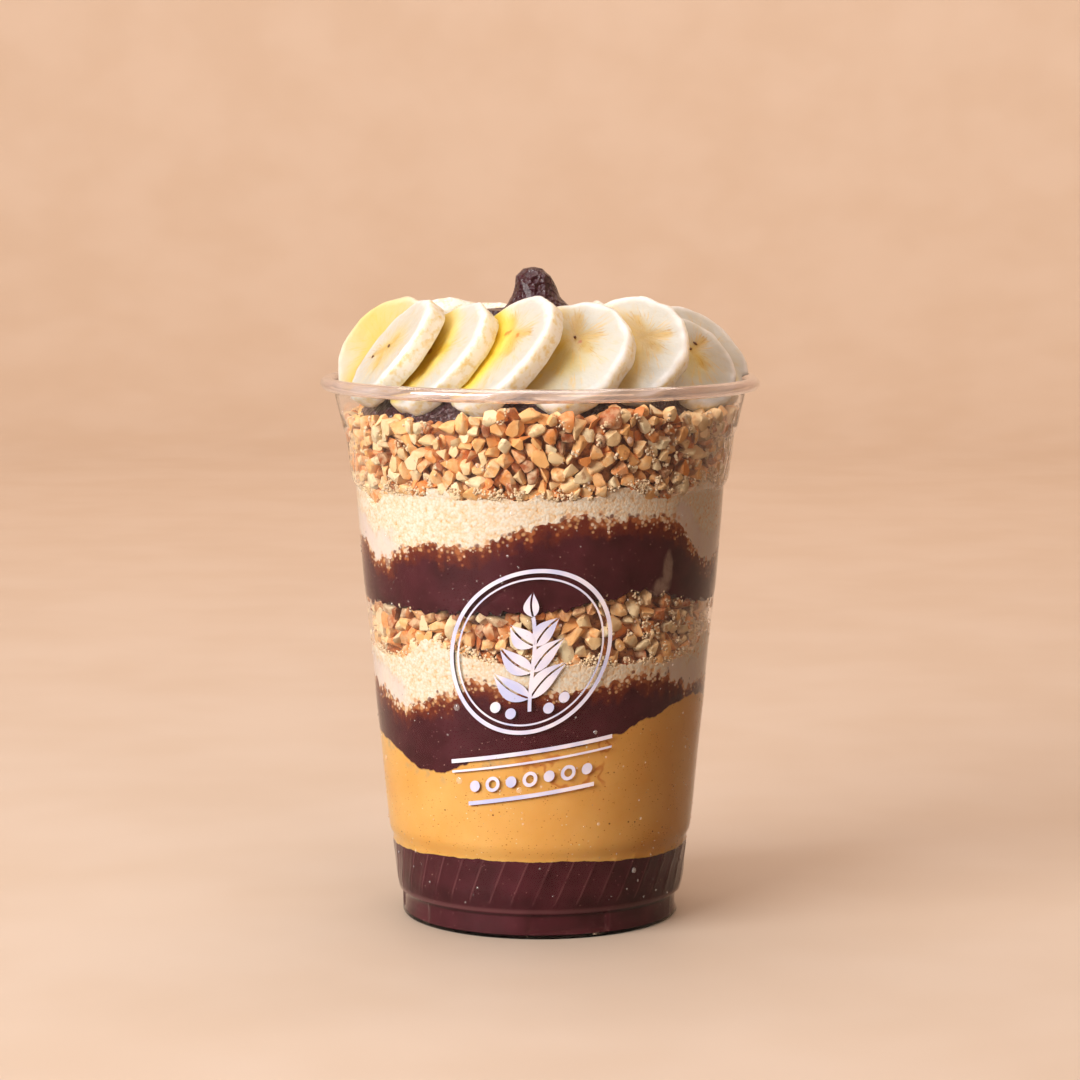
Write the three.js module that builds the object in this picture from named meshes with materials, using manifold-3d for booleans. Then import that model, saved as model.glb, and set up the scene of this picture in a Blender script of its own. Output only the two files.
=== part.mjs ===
// Acai bowl in a clear plastic cup: layers of acai, peanut butter, milk powder and chopped nuts,
// an acai mound with a swirled tip, and a fan of banana slices leaning on it all the way round.
// Millimetres, +Z up, +X right and -Y to the front. The origin is the middle of the cup's foot.

import * as THREE from 'three';
import { mergeVertices } from 'three/addons/utils/BufferGeometryUtils.js';
import Module from 'manifold-3d';

const wasm = await Module();
wasm.setup();

// Driving dimensions
const RIM_DIAMETER = 98;
const CUP_HEIGHT = 121.3;
const BASE_RADIUS = 31;
const WALL = 0.7;
const BEAD_RADIUS = 1.5;
const GAP = 0.3;
const CUP_SIDES = 32;

// The floor of the cup is raised in the middle, and slopes down to the foot all round.
const FLOOR_TOP = 3;
const FLOOR_RADIUS = 26.2;
const FOOT_FLOOR = 1;
const FOOT_WIDTH = 2;

// Outside of the cup wall, from the foot to just under the rim, as radius and height.
// Two ribbed bands stand between steps: one above the foot, one below the rim.
const CUP_OUTSIDE = [
  [BASE_RADIUS, 0], [BASE_RADIUS, 5.7], [32.3, 9.5], [33.2, 18.2], [34.1, 20.7],
  [37.7, 59.2], [41.1, 96.9], [42.1, 98.5], [43.4, 108.4], [44, 109.7], [45.9, 118],
];

// Layer boundaries at the wall: a level, and bumps given as azimuth, width (degrees) and height.
// Azimuth 0 is the front, and it grows towards +X.
const ACAI_BASE_TOP = { level: 16.6, bumps: [[-10, 45, 1.2], [160, 50, 1]] };
const PEANUT_BUTTER_TOP = {
  level: 42,
  bumps: [[-42, 20, -5.6], [66, 40, 9.8], [150, 25, -3], [-130, 30, 2.5]],
};
const ACAI_LOWER_TOP = {
  level: 54.5,
  bumps: [[-55, 20, -3.5], [-24, 8, 3.2], [5, 25, 1.3], [38, 14, 4.3], [120, 20, 2], [-140, 25, 2.5]],
};
const POWDER_LOWER_TOP = {
  level: 61.5,
  bumps: [[-58, 8, -1.5], [-40, 10, 4], [-26, 8, 1.5], [40, 20, -0.9], [75, 9, 4], [170, 30, 2.5]],
};
const NUTS_LOWER_TOP = { level: 72.5, bumps: [[33, 22, 4.3], [110, 25, 2], [-120, 30, 2.5]] };
const ACAI_MIDDLE_TOP = {
  level: 86.8,
  bumps: [[-60, 10, -4.5], [12, 22, 6.4], [42, 14, 5.5], [68, 14, -6], [130, 25, 3], [-150, 30, 3]],
};
const POWDER_UPPER_TOP = {
  level: 97.6,
  bumps: [[-63, 6, -4.8], [-33, 6, 1.4], [25, 7, 2.4], [46, 6, -1], [60, 8, 3], [140, 15, 2]],
};
const NUTS_UPPER_LEVEL = 110.8;
const NUTS_RIM_BOTTOM = 105;
const NUTS_RIM_TOP = 117;

// The faces of a layer are cut from sheets that reach to this radius, outside the wall.
const SHEET_RADIUS = 50;

// Chopped nuts: the core stands back from the layer's outline by this much, and the pieces fill it.
const NUT_SIZE = 4.4;
const NUT_SPACING = 10.2;
const NUT_ROW_HEIGHT = 6;
const CORE_INSET = 1.4;
const NUT_SEED = 7;

// A piece of nut is a box with pushed corners. Pairs are the least value and the range of a draw.
const NUT_BOX = [0.8, 0.75, 0.85];
const NUT_CORNER_PUSH = [0.75, 0.5];
const NUT_STRETCH = [[0.85, 0.4], [0.8, 0.3], [0.9, 0.3]];
const NUT_SIDEWAYS = 0.3;
const NUT_DEPTH = [2.1, 0.6];
const NUT_RIM_DEPTH = [1.6, 0.6];
const NUT_RIM_RISE = [0.6, 1.6];

// Mound of acai: its radius at the nuts, and the tip that stands up in the middle.
const MOUND_RADIUS = 39.6;
const TIP_TOP = 145.4;
const TIP_SHIFT = -1.5;
const TIP_SHIFT_START = 132;
const MOUND_OUTLINE = [
  [MOUND_RADIUS, NUTS_UPPER_LEVEL + GAP], [MOUND_RADIUS, 113.5], [35, 119], [28.5, 126.5], [22.5, 133.5],
  [19, 134.6], [15.5, 132.6], [13.2, 133.6], [12, 136], [9.4, 136.2], [8, 135.4], [6.6, 137],
  [5.2, 138.9], [4.5, 141.4], [3.9, 143.4], [2.2, 145], [0, TIP_TOP],
];
const MOUND_SIDES = 20;

// Banana slices: where the middle of the upper face is (azimuth, radius, height), the azimuth that
// the face looks to, its lean above the horizon, half width, half height and roll in its own plane.
const SLICE_THICKNESS = 4.6;
const SLICE_BEVEL = 0.7;
const SLICE_SIDES = 16;
const SLICE_UNEVEN = 0.018;
const CUTTER_SIDES = 12;
const SLICES = [
  { at: [-87, 35.2, 128.1], faces: -45, lean: 37, half: [13.4, 14.1], roll: 31 },
  { at: [-63, 37.2, 128.4], faces: -71, lean: 36, half: [12, 14.3], roll: -36 },
  { at: [-44, 33, 127.6], faces: -59, lean: 38, half: [12.6, 15.1], roll: -34 },
  { at: [-16, 33, 128.7], faces: -53, lean: 38, half: [12.4, 15.5], roll: -20 },
  { at: [11, 33, 128.4], faces: -22, lean: 40, half: [13.2, 14.3], roll: -14 },
  { at: [36, 33, 129.3], faces: -10, lean: 36, half: [12.4, 13.6], roll: -12 },
  { at: [68, 35.4, 125.8], faces: 37, lean: 40, half: [12.2, 12.9], roll: 0 },
  { at: [87, 35.8, 126.9], faces: 43, lean: 44, half: [13.2, 14], roll: -34 },
  { at: [116, 34.5, 127.4], faces: 72, lean: 37, half: [12.3, 14], roll: -5 },
  { at: [141, 34.5, 126.7], faces: 99, lean: 38, half: [12.2, 13.4], roll: 8 },
  { at: [167, 34.6, 126.9], faces: 127, lean: 37, half: [12.4, 13.2], roll: -10 },
  { at: [193, 34.8, 126.7], faces: 155, lean: 38, half: [12, 13.6], roll: 6 },
  { at: [215, 34.5, 127.1], faces: 174, lean: 36, half: [12.3, 14], roll: 0 },
  { at: [239, 33.8, 124.4], faces: 215, lean: 38, half: [12.2, 13.9], roll: 2 },
];

// The space in which the slices lie: from this height in the cup, and wide and tall above the rim.
const MOUTH_BOTTOM = 90;
const MOUTH_RADIUS = 60;
const MOUTH_TOP = 160;

const radians = (degrees) => THREE.MathUtils.degToRad(degrees);

// A seeded draw between 0 and 1, so that the nuts fall the same way every time.
function makeDraw(seed) {
  let state = seed;
  return () => {
    state = (state * 1664525 + 1013904223) % 4294967296;
    return state / 4294967296;
  };
}

const between = ([least, range], draw) => least + range * draw();

function toSolid(geometry) {
  const plain = geometry.clone();
  plain.deleteAttribute('normal');
  plain.deleteAttribute('uv');
  const merged = mergeVertices(plain, 1e-4);
  const vertProperties = new Float32Array(merged.attributes.position.array);
  const corners = [];
  const index = merged.index.array;
  for (let i = 0; i < index.length; i += 3) {
    const [a, b, c] = [index[i], index[i + 1], index[i + 2]];
    if (a !== b && b !== c && c !== a) corners.push(a, b, c);
  }
  let triVerts = new Uint32Array(corners);
  if (signedVolume(vertProperties, triVerts) < 0) triVerts = triVerts.reverse();
  return new wasm.Manifold(new wasm.Mesh({ numProp: 3, vertProperties, triVerts }));
}

function signedVolume(points, corners) {
  const corner = (k) => new THREE.Vector3().fromArray(points, 3 * corners[k]);
  let volume = 0;
  for (let i = 0; i < corners.length; i += 3) {
    volume += corner(i).dot(corner(i + 1).cross(corner(i + 2))) / 6;
  }
  return volume;
}

function toGeometry(solid) {
  const mesh = solid.getMesh();
  const geometry = new THREE.BufferGeometry();
  geometry.setAttribute('position', new THREE.BufferAttribute(new Float32Array(mesh.vertProperties), 3));
  geometry.setIndex(new THREE.BufferAttribute(new Uint32Array(mesh.triVerts), 1));
  return geometry;
}

// Turns an outline of radius and height round the Z axis.
function turned(outline, sides) {
  const points = outline.map(([radius, height]) => new THREE.Vector2(radius, height));
  return new THREE.LatheGeometry(points, sides).rotateX(Math.PI / 2);
}

// Radius of the cup's outside at a height.
function outsideRadius(height) {
  for (let i = 1; i < CUP_OUTSIDE.length; i += 1) {
    const [r0, z0] = CUP_OUTSIDE[i - 1];
    const [r1, z1] = CUP_OUTSIDE[i];
    if (height <= z1) return r0 + (r1 - r0) * (height - z0) / (z1 - z0);
  }
  return CUP_OUTSIDE.at(-1)[0];
}

function cupGeometry() {
  const bead = { radius: RIM_DIAMETER / 2 - BEAD_RADIUS, height: CUP_HEIGHT - BEAD_RADIUS };
  const beadPoints = [];
  for (let degrees = -120; degrees <= 180; degrees += 50) {
    const angle = radians(degrees);
    beadPoints.push([
      bead.radius + BEAD_RADIUS * Math.cos(angle),
      bead.height + BEAD_RADIUS * Math.sin(angle),
    ]);
  }
  const inside = CUP_OUTSIDE.filter(([, height]) => height > FOOT_FLOOR)
    .map(([radius, height]) => [radius - WALL, height]);
  return turned([
    [0, FLOOR_TOP - WALL], [FLOOR_RADIUS - WALL, FLOOR_TOP - WALL], [BASE_RADIUS - FOOT_WIDTH, 0],
    ...CUP_OUTSIDE, ...beadPoints, ...inside.reverse(),
    [BASE_RADIUS - WALL, FOOT_FLOOR], [FLOOR_RADIUS, FLOOR_TOP], [0, FLOOR_TOP],
  ], CUP_SIDES);
}

// The whole room inside the cup, standing back from the wall and floor by inset. Where the floor
// slopes, the room rises by more, so that it stands back as far.
function roomSolid(inset) {
  const wall = CUP_OUTSIDE.filter(([, height]) => height > FLOOR_TOP + inset)
    .map(([radius, height]) => [radius - WALL - inset, height]);
  const footBottom = FOOT_FLOOR + 1.6 * inset;
  const top = CUP_OUTSIDE.at(-1)[1];
  return toSolid(turned([
    [0, FLOOR_TOP + inset], [FLOOR_RADIUS, FLOOR_TOP + inset], [BASE_RADIUS - WALL - inset, footBottom],
    ...wall, [0, top],
  ], CUP_SIDES));
}

// Height of a boundary: the bumps are full at the wall and fade to the level in the middle.
function boundaryHeight(boundary, azimuth, share) {
  let height = boundary.level;
  for (const [centre, width, rise] of boundary.bumps) {
    const away = ((azimuth - centre + 540) % 360 - 180) / width;
    height += share * rise * Math.exp(-away * away);
  }
  return height;
}

// A wide disc between two boundaries, made a little thinner by a margin on both faces. Each face
// is a sheet from its level in the middle to a ring outside the wall, so its bumps grow outwards.
function slabSolid(lower, upper, margin) {
  const sides = CUP_SIDES;
  const positions = [0, 0, lower.level + margin, 0, 0, upper.level - margin];
  const index = [];
  for (const [face, boundary] of [lower, upper].entries()) {
    const share = SHEET_RADIUS / (outsideRadius(boundary.level) - WALL);
    for (let side = 0; side < sides; side += 1) {
      const azimuth = 360 * side / sides;
      const angle = radians(azimuth);
      const height = boundaryHeight(boundary, azimuth, share) + (face ? -margin : margin);
      positions.push(SHEET_RADIUS * Math.sin(angle), -SHEET_RADIUS * Math.cos(angle), height);
    }
  }
  for (let side = 0; side < sides; side += 1) {
    const [a, b] = [2 + side, 2 + (side + 1) % sides];
    const [c, d] = [a + sides, b + sides];
    index.push(0, b, a, 1, c, d, a, b, d, a, d, c);
  }
  const geometry = new THREE.BufferGeometry();
  geometry.setAttribute('position', new THREE.Float32BufferAttribute(positions, 3));
  geometry.setIndex(index);
  return toSolid(geometry);
}

const flatBoundary = (level) => ({ level, bumps: [] });

function layerGeometry(lower, upper) {
  return toGeometry(roomSolid(GAP).intersect(slabSolid(lower, upper, GAP / 2)));
}

// One cut piece of nut: a chunk with eight uneven corners, stretched and turned.
function nutGeometry(draw) {
  const box = new THREE.BoxGeometry(...NUT_BOX.map((share) => share * NUT_SIZE));
  box.deleteAttribute('normal');
  box.deleteAttribute('uv');
  const geometry = mergeVertices(box);
  const position = geometry.attributes.position;
  for (let i = 0; i < position.count; i += 1) {
    const push = between(NUT_CORNER_PUSH, draw);
    position.setXYZ(i, position.getX(i) * push, position.getY(i) * push, position.getZ(i) * push);
  }
  geometry.scale(...NUT_STRETCH.map((range) => between(range, draw)));
  geometry.rotateX(2 * Math.PI * draw());
  geometry.rotateY(2 * Math.PI * draw());
  return geometry.rotateZ(2 * Math.PI * draw());
}

// A layer of chopped nuts: a core with pieces on its side, trimmed to the outline of the layer.
function nutsSolid(outline, core, lower, upper, draw, rimRows) {
  let solid = core;
  const rows = Math.round((upper.level - lower.level) / NUT_ROW_HEIGHT);
  for (let row = 0; row < rows + rimRows; row += 1) {
    const onRim = row >= rows;
    const share = (row + 0.5) / rows;
    const around = Math.round(2 * Math.PI * outsideRadius(lower.level) / NUT_SPACING);
    for (let place = 0; place < around; place += 1) {
      const sideways = 0.5 * (row % 2) + NUT_SIDEWAYS * (draw() - 0.5);
      const azimuth = 360 * (place + sideways) / around;
      const low = boundaryHeight(lower, azimuth, 1);
      const high = boundaryHeight(upper, azimuth, 1);
      const height = onRim
        ? high + between(NUT_RIM_RISE, draw)
        : low + (high - low) * share + draw() - 0.5;
      const radius = outsideRadius(height) - WALL - between(onRim ? NUT_RIM_DEPTH : NUT_DEPTH, draw);
      const angle = radians(azimuth);
      const centre = new THREE.Vector3(radius * Math.sin(angle), -radius * Math.cos(angle), height);
      const piece = nutGeometry(draw).translate(centre.x, centre.y, centre.z);
      if (!onRim || clearOfSlices(centre, NUT_SIZE / 2 + 0.5)) solid = solid.add(toSolid(piece));
    }
  }
  return largestBody(solid.intersect(outline));
}

// Drops the loose scraps that trimming leaves.
function largestBody(solid) {
  return solid.decompose().reduce((best, body) => (body.volume() > best.volume() ? body : best));
}

// Turn of a slice from lying flat to leaning: roll in its plane, then lean, then azimuth.
function sliceTurn(slice) {
  const about = (x, y, z, degrees) => new THREE.Quaternion()
    .setFromAxisAngle(new THREE.Vector3(x, y, z), radians(degrees));
  return about(0, 0, 1, slice.faces)
    .multiply(about(1, 0, 0, 90 - slice.lean))
    .multiply(about(0, 0, 1, slice.roll));
}

function slicePlace(slice) {
  const [azimuth, radius, height] = slice.at;
  const angle = radians(azimuth);
  return new THREE.Vector3(radius * Math.sin(angle), -radius * Math.cos(angle), height);
}

// A slice lies under the plane z = 0 of its own frame. Grown by a gap it is a plain cutter, with
// few sides that stand just outside the slice's own.
function sliceGeometry(slice, number, grow) {
  const bevel = grow ? 0 : SLICE_BEVEL;
  const [top, bottom] = [grow, -SLICE_THICKNESS - grow];
  const outline = [[0, bottom], [1 - bevel / slice.half[0], bottom], [1, bottom + bevel]];
  if (!grow) outline.push([1, top - bevel]);
  outline.push([1 - bevel / slice.half[0], top], [0, top]);
  const geometry = turned(outline, grow ? CUTTER_SIDES : SLICE_SIDES);
  const position = geometry.attributes.position;
  for (let i = 0; i < position.count; i += 1) {
    const [x, y] = [position.getX(i), position.getY(i)];
    const uneven = 1 + SLICE_UNEVEN * (Math.cos(3 * Math.atan2(y, x) + number) - 1);
    const scale = grow ? 1 / Math.cos(Math.PI / CUTTER_SIDES) : uneven;
    position.setX(i, x * scale * (slice.half[0] + grow));
    position.setY(i, y * scale * (slice.half[1] + grow));
  }
  return geometry;
}

function placedSlice(number, grow) {
  const slice = SLICES[number];
  const matrix = new THREE.Matrix4()
    .compose(slicePlace(slice), sliceTurn(slice), new THREE.Vector3(1, 1, 1));
  return toSolid(sliceGeometry(slice, number, grow).applyMatrix4(matrix));
}

function clearOfSlices(point, margin) {
  return SLICES.every((slice) => {
    const local = point.clone().sub(slicePlace(slice)).applyQuaternion(sliceTurn(slice).invert());
    const across = Math.hypot(local.x / (slice.half[0] + margin), local.y / (slice.half[1] + margin));
    return across > 1 || local.z > margin || local.z < -SLICE_THICKNESS - margin;
  });
}

// Each slice lies on the next one round the ring; the second lies on the first as well.
function slicesAbove(number) {
  const count = SLICES.length;
  if (number === 0) return [count - 1, count - 2, 1, 2];
  if (number === 1) return [];
  return [number - 1, number - 2];
}

// The mouth of the cup, in which the slices lie: its inside, and all that is above the rim.
function mouthSolid() {
  const wall = CUP_OUTSIDE.filter(([, height]) => height > MOUTH_BOTTOM)
    .map(([radius, height]) => [radius - WALL - GAP, height]);
  const beadInside = RIM_DIAMETER / 2 - 2 * BEAD_RADIUS - GAP;
  return toSolid(turned([
    [0, MOUTH_BOTTOM], ...wall, [beadInside, CUP_HEIGHT - BEAD_RADIUS],
    [beadInside + 2 * GAP, CUP_HEIGHT + GAP / 2], [MOUTH_RADIUS, CUP_HEIGHT + GAP],
    [MOUTH_RADIUS, MOUTH_TOP], [0, MOUTH_TOP],
  ], CUP_SIDES));
}

function withoutSlices(solid) {
  let rest = solid;
  for (const number of SLICES.keys()) rest = rest.subtract(placedSlice(number, GAP));
  return rest;
}

function bananaGeometry(number, mouth) {
  let solid = placedSlice(number, 0).intersect(mouth);
  for (const above of slicesAbove(number)) solid = solid.subtract(placedSlice(above, GAP));
  const geometry = toGeometry(solid);
  const slice = SLICES[number];
  const place = slicePlace(slice);
  geometry.translate(-place.x, -place.y, -place.z);
  return geometry.applyQuaternion(sliceTurn(slice).invert());
}

function moundGeometry() {
  const geometry = turned([[0, NUTS_UPPER_LEVEL + GAP], ...MOUND_OUTLINE], MOUND_SIDES);
  const position = geometry.attributes.position;
  for (let i = 0; i < position.count; i += 1) {
    const rise = THREE.MathUtils.smoothstep(position.getZ(i), TIP_SHIFT_START, TIP_TOP);
    position.setX(i, position.getX(i) + TIP_SHIFT * rise);
  }
  return toGeometry(withoutSlices(toSolid(geometry)));
}

function nutsLowerGeometry(draw) {
  const outline = roomSolid(GAP).intersect(slabSolid(POWDER_LOWER_TOP, NUTS_LOWER_TOP, GAP / 2));
  const core = roomSolid(CORE_INSET).intersect(slabSolid(POWDER_LOWER_TOP, NUTS_LOWER_TOP, GAP / 2));
  return toGeometry(nutsSolid(outline, core, POWDER_LOWER_TOP, NUTS_LOWER_TOP, draw, 0));
}

// The upper nuts stand up round the foot of the mound, in the gap between it and the wall.
function nutsUpperGeometry(draw) {
  const upper = flatBoundary(NUTS_UPPER_LEVEL);
  const underMound = slabSolid(POWDER_UPPER_TOP, upper, GAP / 2);
  const ringInside = MOUND_RADIUS + GAP;
  const ring = toSolid(turned([
    [ringInside, NUTS_RIM_BOTTOM], [SHEET_RADIUS, NUTS_RIM_BOTTOM], [SHEET_RADIUS, NUTS_RIM_TOP],
    [ringInside, NUTS_RIM_TOP], [ringInside, NUTS_RIM_BOTTOM],
  ], CUP_SIDES));
  const outline = withoutSlices(roomSolid(GAP).intersect(underMound.add(ring)));
  const core = roomSolid(CORE_INSET).intersect(underMound);
  return toGeometry(nutsSolid(outline, core, POWDER_UPPER_TOP, upper, draw, 1));
}

function addPiece(group, name, geometry, color, roughness, extra = {}) {
  const material = new THREE.MeshStandardMaterial({ color, roughness, metalness: 0, ...extra });
  const mesh = new THREE.Mesh(geometry, material);
  mesh.name = name;
  group.add(mesh);
  return mesh;
}

function build() {
  const group = new THREE.Group();
  const draw = makeDraw(NUT_SEED);
  const [acai, nuts, powder, butter, banana] = ['#4b1e28', '#d9a15c', '#e8cda2', '#e3a853', '#f4e6bd'];
  const floor = flatBoundary(-20);
  const clear = { transparent: true, opacity: 0.3 };
  addPiece(group, 'cup', cupGeometry(), '#eef2f4', 0.08, clear);
  addPiece(group, 'acai_base', layerGeometry(floor, ACAI_BASE_TOP), acai, 0.4);
  addPiece(group, 'peanut_butter', layerGeometry(ACAI_BASE_TOP, PEANUT_BUTTER_TOP), butter, 0.45);
  addPiece(group, 'acai_lower', layerGeometry(PEANUT_BUTTER_TOP, ACAI_LOWER_TOP), acai, 0.4);
  addPiece(group, 'powder_lower', layerGeometry(ACAI_LOWER_TOP, POWDER_LOWER_TOP), powder, 0.9);
  addPiece(group, 'nuts_lower', nutsLowerGeometry(draw), nuts, 0.6);
  addPiece(group, 'acai_middle', layerGeometry(NUTS_LOWER_TOP, ACAI_MIDDLE_TOP), acai, 0.4);
  addPiece(group, 'powder_upper', layerGeometry(ACAI_MIDDLE_TOP, POWDER_UPPER_TOP), powder, 0.9);
  addPiece(group, 'nuts_upper', nutsUpperGeometry(draw), nuts, 0.6);
  addPiece(group, 'acai_top', moundGeometry(), acai, 0.35);
  const mouth = mouthSolid();
  for (const [number, slice] of SLICES.entries()) {
    const name = `banana_${String(number + 1).padStart(2, '0')}`;
    const mesh = addPiece(group, name, bananaGeometry(number, mouth), banana, 0.5);
    mesh.position.copy(slicePlace(slice));
    mesh.quaternion.copy(sliceTurn(slice));
  }
  return group;
}

const group = build();

export default group;
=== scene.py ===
"""Looks of the acai bowl: a clear cup of layered acai, nut butter, powder, nuts and banana."""
import math
import random

import bmesh
import bpy
import numpy as np
from mathutils import Euler, Matrix, Vector


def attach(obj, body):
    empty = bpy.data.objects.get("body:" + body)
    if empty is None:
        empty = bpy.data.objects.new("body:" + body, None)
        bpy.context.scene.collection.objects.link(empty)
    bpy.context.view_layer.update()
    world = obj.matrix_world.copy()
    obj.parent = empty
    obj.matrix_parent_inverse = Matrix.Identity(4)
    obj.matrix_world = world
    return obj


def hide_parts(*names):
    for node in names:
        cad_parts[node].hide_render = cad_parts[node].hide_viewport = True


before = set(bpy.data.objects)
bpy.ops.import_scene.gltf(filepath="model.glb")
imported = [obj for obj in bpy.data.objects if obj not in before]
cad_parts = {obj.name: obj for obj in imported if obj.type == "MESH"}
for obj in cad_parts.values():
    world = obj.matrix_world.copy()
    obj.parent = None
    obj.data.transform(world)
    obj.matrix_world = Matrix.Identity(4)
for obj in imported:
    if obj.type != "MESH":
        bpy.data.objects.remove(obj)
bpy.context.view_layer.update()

MM = 0.001

# Sizes in mm, the same as in the part's source
WALL = 0.7
FLOOR_TOP = 3.0
FLOOR_RADIUS = 26.2
FOOT_FLOOR = 1.0
BEAD_RADIUS = 1.5
BEAD_CENTRE = (47.5, 119.8)
STEP_TOP = (42.1, 98.5)
CUP_OUTSIDE = [(31, 0), (31, 5.7), (32.3, 9.5), (33.2, 18.2), (34.1, 20.7), (37.7, 59.2), (41.1, 96.9),
               STEP_TOP, (43.4, 108.4), (44, 109.7), (45.9, 118)]
# Top of each layer: level in the middle, and bumps as azimuth and width in degrees, and height
ACAI_BASE_TOP = (16.6, [(-10, 45, 1.2), (160, 50, 1)])
PEANUT_BUTTER_TOP = (42, [(-42, 20, -5.6), (66, 40, 9.8), (150, 25, -3), (-130, 30, 2.5)])
ACAI_LOWER_TOP = (54.5, [(-55, 20, -3.5), (-24, 8, 3.2), (5, 25, 1.3), (38, 14, 4.3), (120, 20, 2),
                         (-140, 25, 2.5)])
POWDER_LOWER_TOP = (61.5, [(-58, 8, -1.5), (-40, 10, 4), (-26, 8, 1.5), (40, 20, -0.9), (75, 9, 4),
                           (170, 30, 2.5)])
NUTS_LOWER_TOP = (72.5, [(33, 22, 4.3), (110, 25, 2), (-120, 30, 2.5)])
ACAI_MIDDLE_TOP = (86.8, [(-60, 10, -4.5), (12, 22, 6.4), (42, 14, 5.5), (68, 14, -6), (130, 25, 3),
                          (-150, 30, 3)])
POWDER_UPPER_TOP = (97.6, [(-63, 6, -4.8), (-33, 6, 1.4), (25, 7, 2.4), (46, 6, -1), (60, 8, 3),
                           (140, 15, 2)])
NUTS_UPPER_TOP = (112.2, [(-55, 20, 1.5), (-7, 18, 4.5), (31, 16, 4.5), (70, 20, 3), (130, 30, 2),
                          (-130, 30, 2)])
FLOOR_LEVEL = (FLOOR_TOP - 0.05, [])
# Ribs round the cup, and how far their phase turns for each mm of height
RIB_COUNT = 41
RIB_SLANT = 0.53
SLICE_THICKNESS = 4.6
MOUND_OUTLINE = [(39.6, 111.1), (39.6, 113.5), (35, 119), (28.5, 126.5), (22.5, 133.5), (19, 134.6),
                 (15.5, 132.6), (13.2, 133.6), (12, 136), (9.4, 136.2), (8, 135.4), (6.6, 137),
                 (5.2, 138.9), (4.5, 141.4), (3.9, 143.4), (2.2, 145)]
TIP_HEIGHT = 145.4
TIP_SHIFT = -1.5
# Azimuth, radius and height of each slice, where it faces, lean, half sizes and roll
SLICES = [
    ((-87, 35.2, 128.1), -45, 37, (13.4, 14.1), 31),
    ((-63, 37.2, 128.4), -71, 36, (12, 14.3), -36),
    ((-44, 33, 127.6), -59, 38, (12.6, 15.1), -34),
    ((-16, 33, 128.7), -53, 38, (12.4, 15.5), -20),
    ((11, 33, 128.4), -22, 40, (13.2, 14.3), -14),
    ((36, 33, 129.3), -10, 36, (12.4, 13.6), -12),
    ((68, 35.4, 125.8), 37, 40, (12.2, 12.9), 0),
    ((87, 35.8, 126.9), 43, 44, (13.2, 14), -34),
    ((116, 34.5, 127.4), 72, 37, (12.3, 14), -5),
    ((141, 34.5, 126.7), 99, 38, (12.2, 13.4), 8),
    ((167, 34.6, 126.9), 127, 37, (12.4, 13.2), -10),
    ((193, 34.8, 126.7), 155, 38, (12, 13.6), 6),
    ((215, 34.5, 127.1), 174, 36, (12.3, 14), 0),
    ((239, 33.8, 124.4), 215, 38, (12.2, 13.9), 2),
]


# Helpers for shapes

def noise(points, scale, seed=0, octaves=1):
    """Smooth noise from -1 to 1 at each point, in features of about 1 / scale."""
    total = np.zeros(len(points))
    for octave in range(octaves):
        at = np.asarray(points) * scale * 2 ** octave + 100.0
        cell = np.floor(at).astype(np.int64)
        part = at - cell
        ease = part * part * (3 - 2 * part)
        value = np.zeros(len(at))
        for corner in range(8):
            offset = np.array([corner & 1, corner >> 1 & 1, corner >> 2 & 1])
            key = cell + offset
            mixed = (key[:, 0] * 73856093) ^ (key[:, 1] * 19349663) ^ (key[:, 2] * 83492791)
            mixed = (mixed + (seed + octave) * 7919) & 0xFFFFFF
            mixed = (mixed * 48271 + 12345) & 0xFFFFFF
            mixed = (mixed ^ (mixed >> 11)) * 69621 & 0xFFFFFF
            share = np.prod(np.where(offset, ease, 1 - ease), axis=1)
            value += share * (mixed / 0x7FFFFF - 1)
        total += value * 0.5 ** octave
    return total


def radius_at(profile, height):
    """Radius of a profile, given as pairs of radius and height, at a height."""
    return np.interp(height, [z for _, z in profile], [r for r, _ in profile])


def inside_radius(height):
    return radius_at(CUP_OUTSIDE, height) - WALL


def layer_radius(height):
    """Inside of the wall without the step below the upper band, which the layers don't fill."""
    stepless = [corner for corner in CUP_OUTSIDE if corner is not STEP_TOP]
    return np.minimum(inside_radius(height), radius_at(stepless, height) - WALL)


def layer_height(layer, azimuth, share=1.0):
    level, bumps = layer
    total = np.zeros(np.shape(azimuth))
    for centre, width, rise in bumps:
        away = (np.asarray(azimuth) - centre + 180) % 360 - 180
        total = total + rise * np.exp(-(away / width) ** 2)
    return level + share * total


def at_azimuth(azimuth, radius, height):
    angle = np.radians(azimuth)
    return np.stack([radius * np.sin(angle), -radius * np.cos(angle), height + 0 * angle], axis=-1)


def azimuth_of(points):
    return np.degrees(np.arctan2(points[..., 0], -points[..., 1]))


def all_round(columns):
    """Azimuths evenly round the axis."""
    return np.arange(columns) * 360 / columns - 180


def smoothstep(value, low, high):
    part = np.clip((np.asarray(value, dtype=float) - low) / (high - low), 0, 1)
    return part * part * (3 - 2 * part)


def keep_within(points, limit):
    """Moves the points that lie past a radius back to it."""
    out = np.hypot(points[:, 0], points[:, 1])
    points[:, :2] *= np.minimum(1, limit / out)[:, None]


def moved(matrix, points):
    matrix = np.array(matrix)
    return points @ matrix[:3, :3].T + matrix[:3, 3]


def random_turn(source):
    return np.array(Euler([source.uniform(0, 6.283) for _ in range(3)]).to_matrix())


def ball(level):
    """Points and faces of a round ball of unit radius."""
    build = bmesh.new()
    bmesh.ops.create_icosphere(build, subdivisions=level, radius=1)
    return taken_from(build)


def taken_from(build):
    points = np.array([v.co[:] for v in build.verts])
    faces = [tuple(v.index for v in f.verts) for f in build.faces]
    build.free()
    return points, faces


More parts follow.
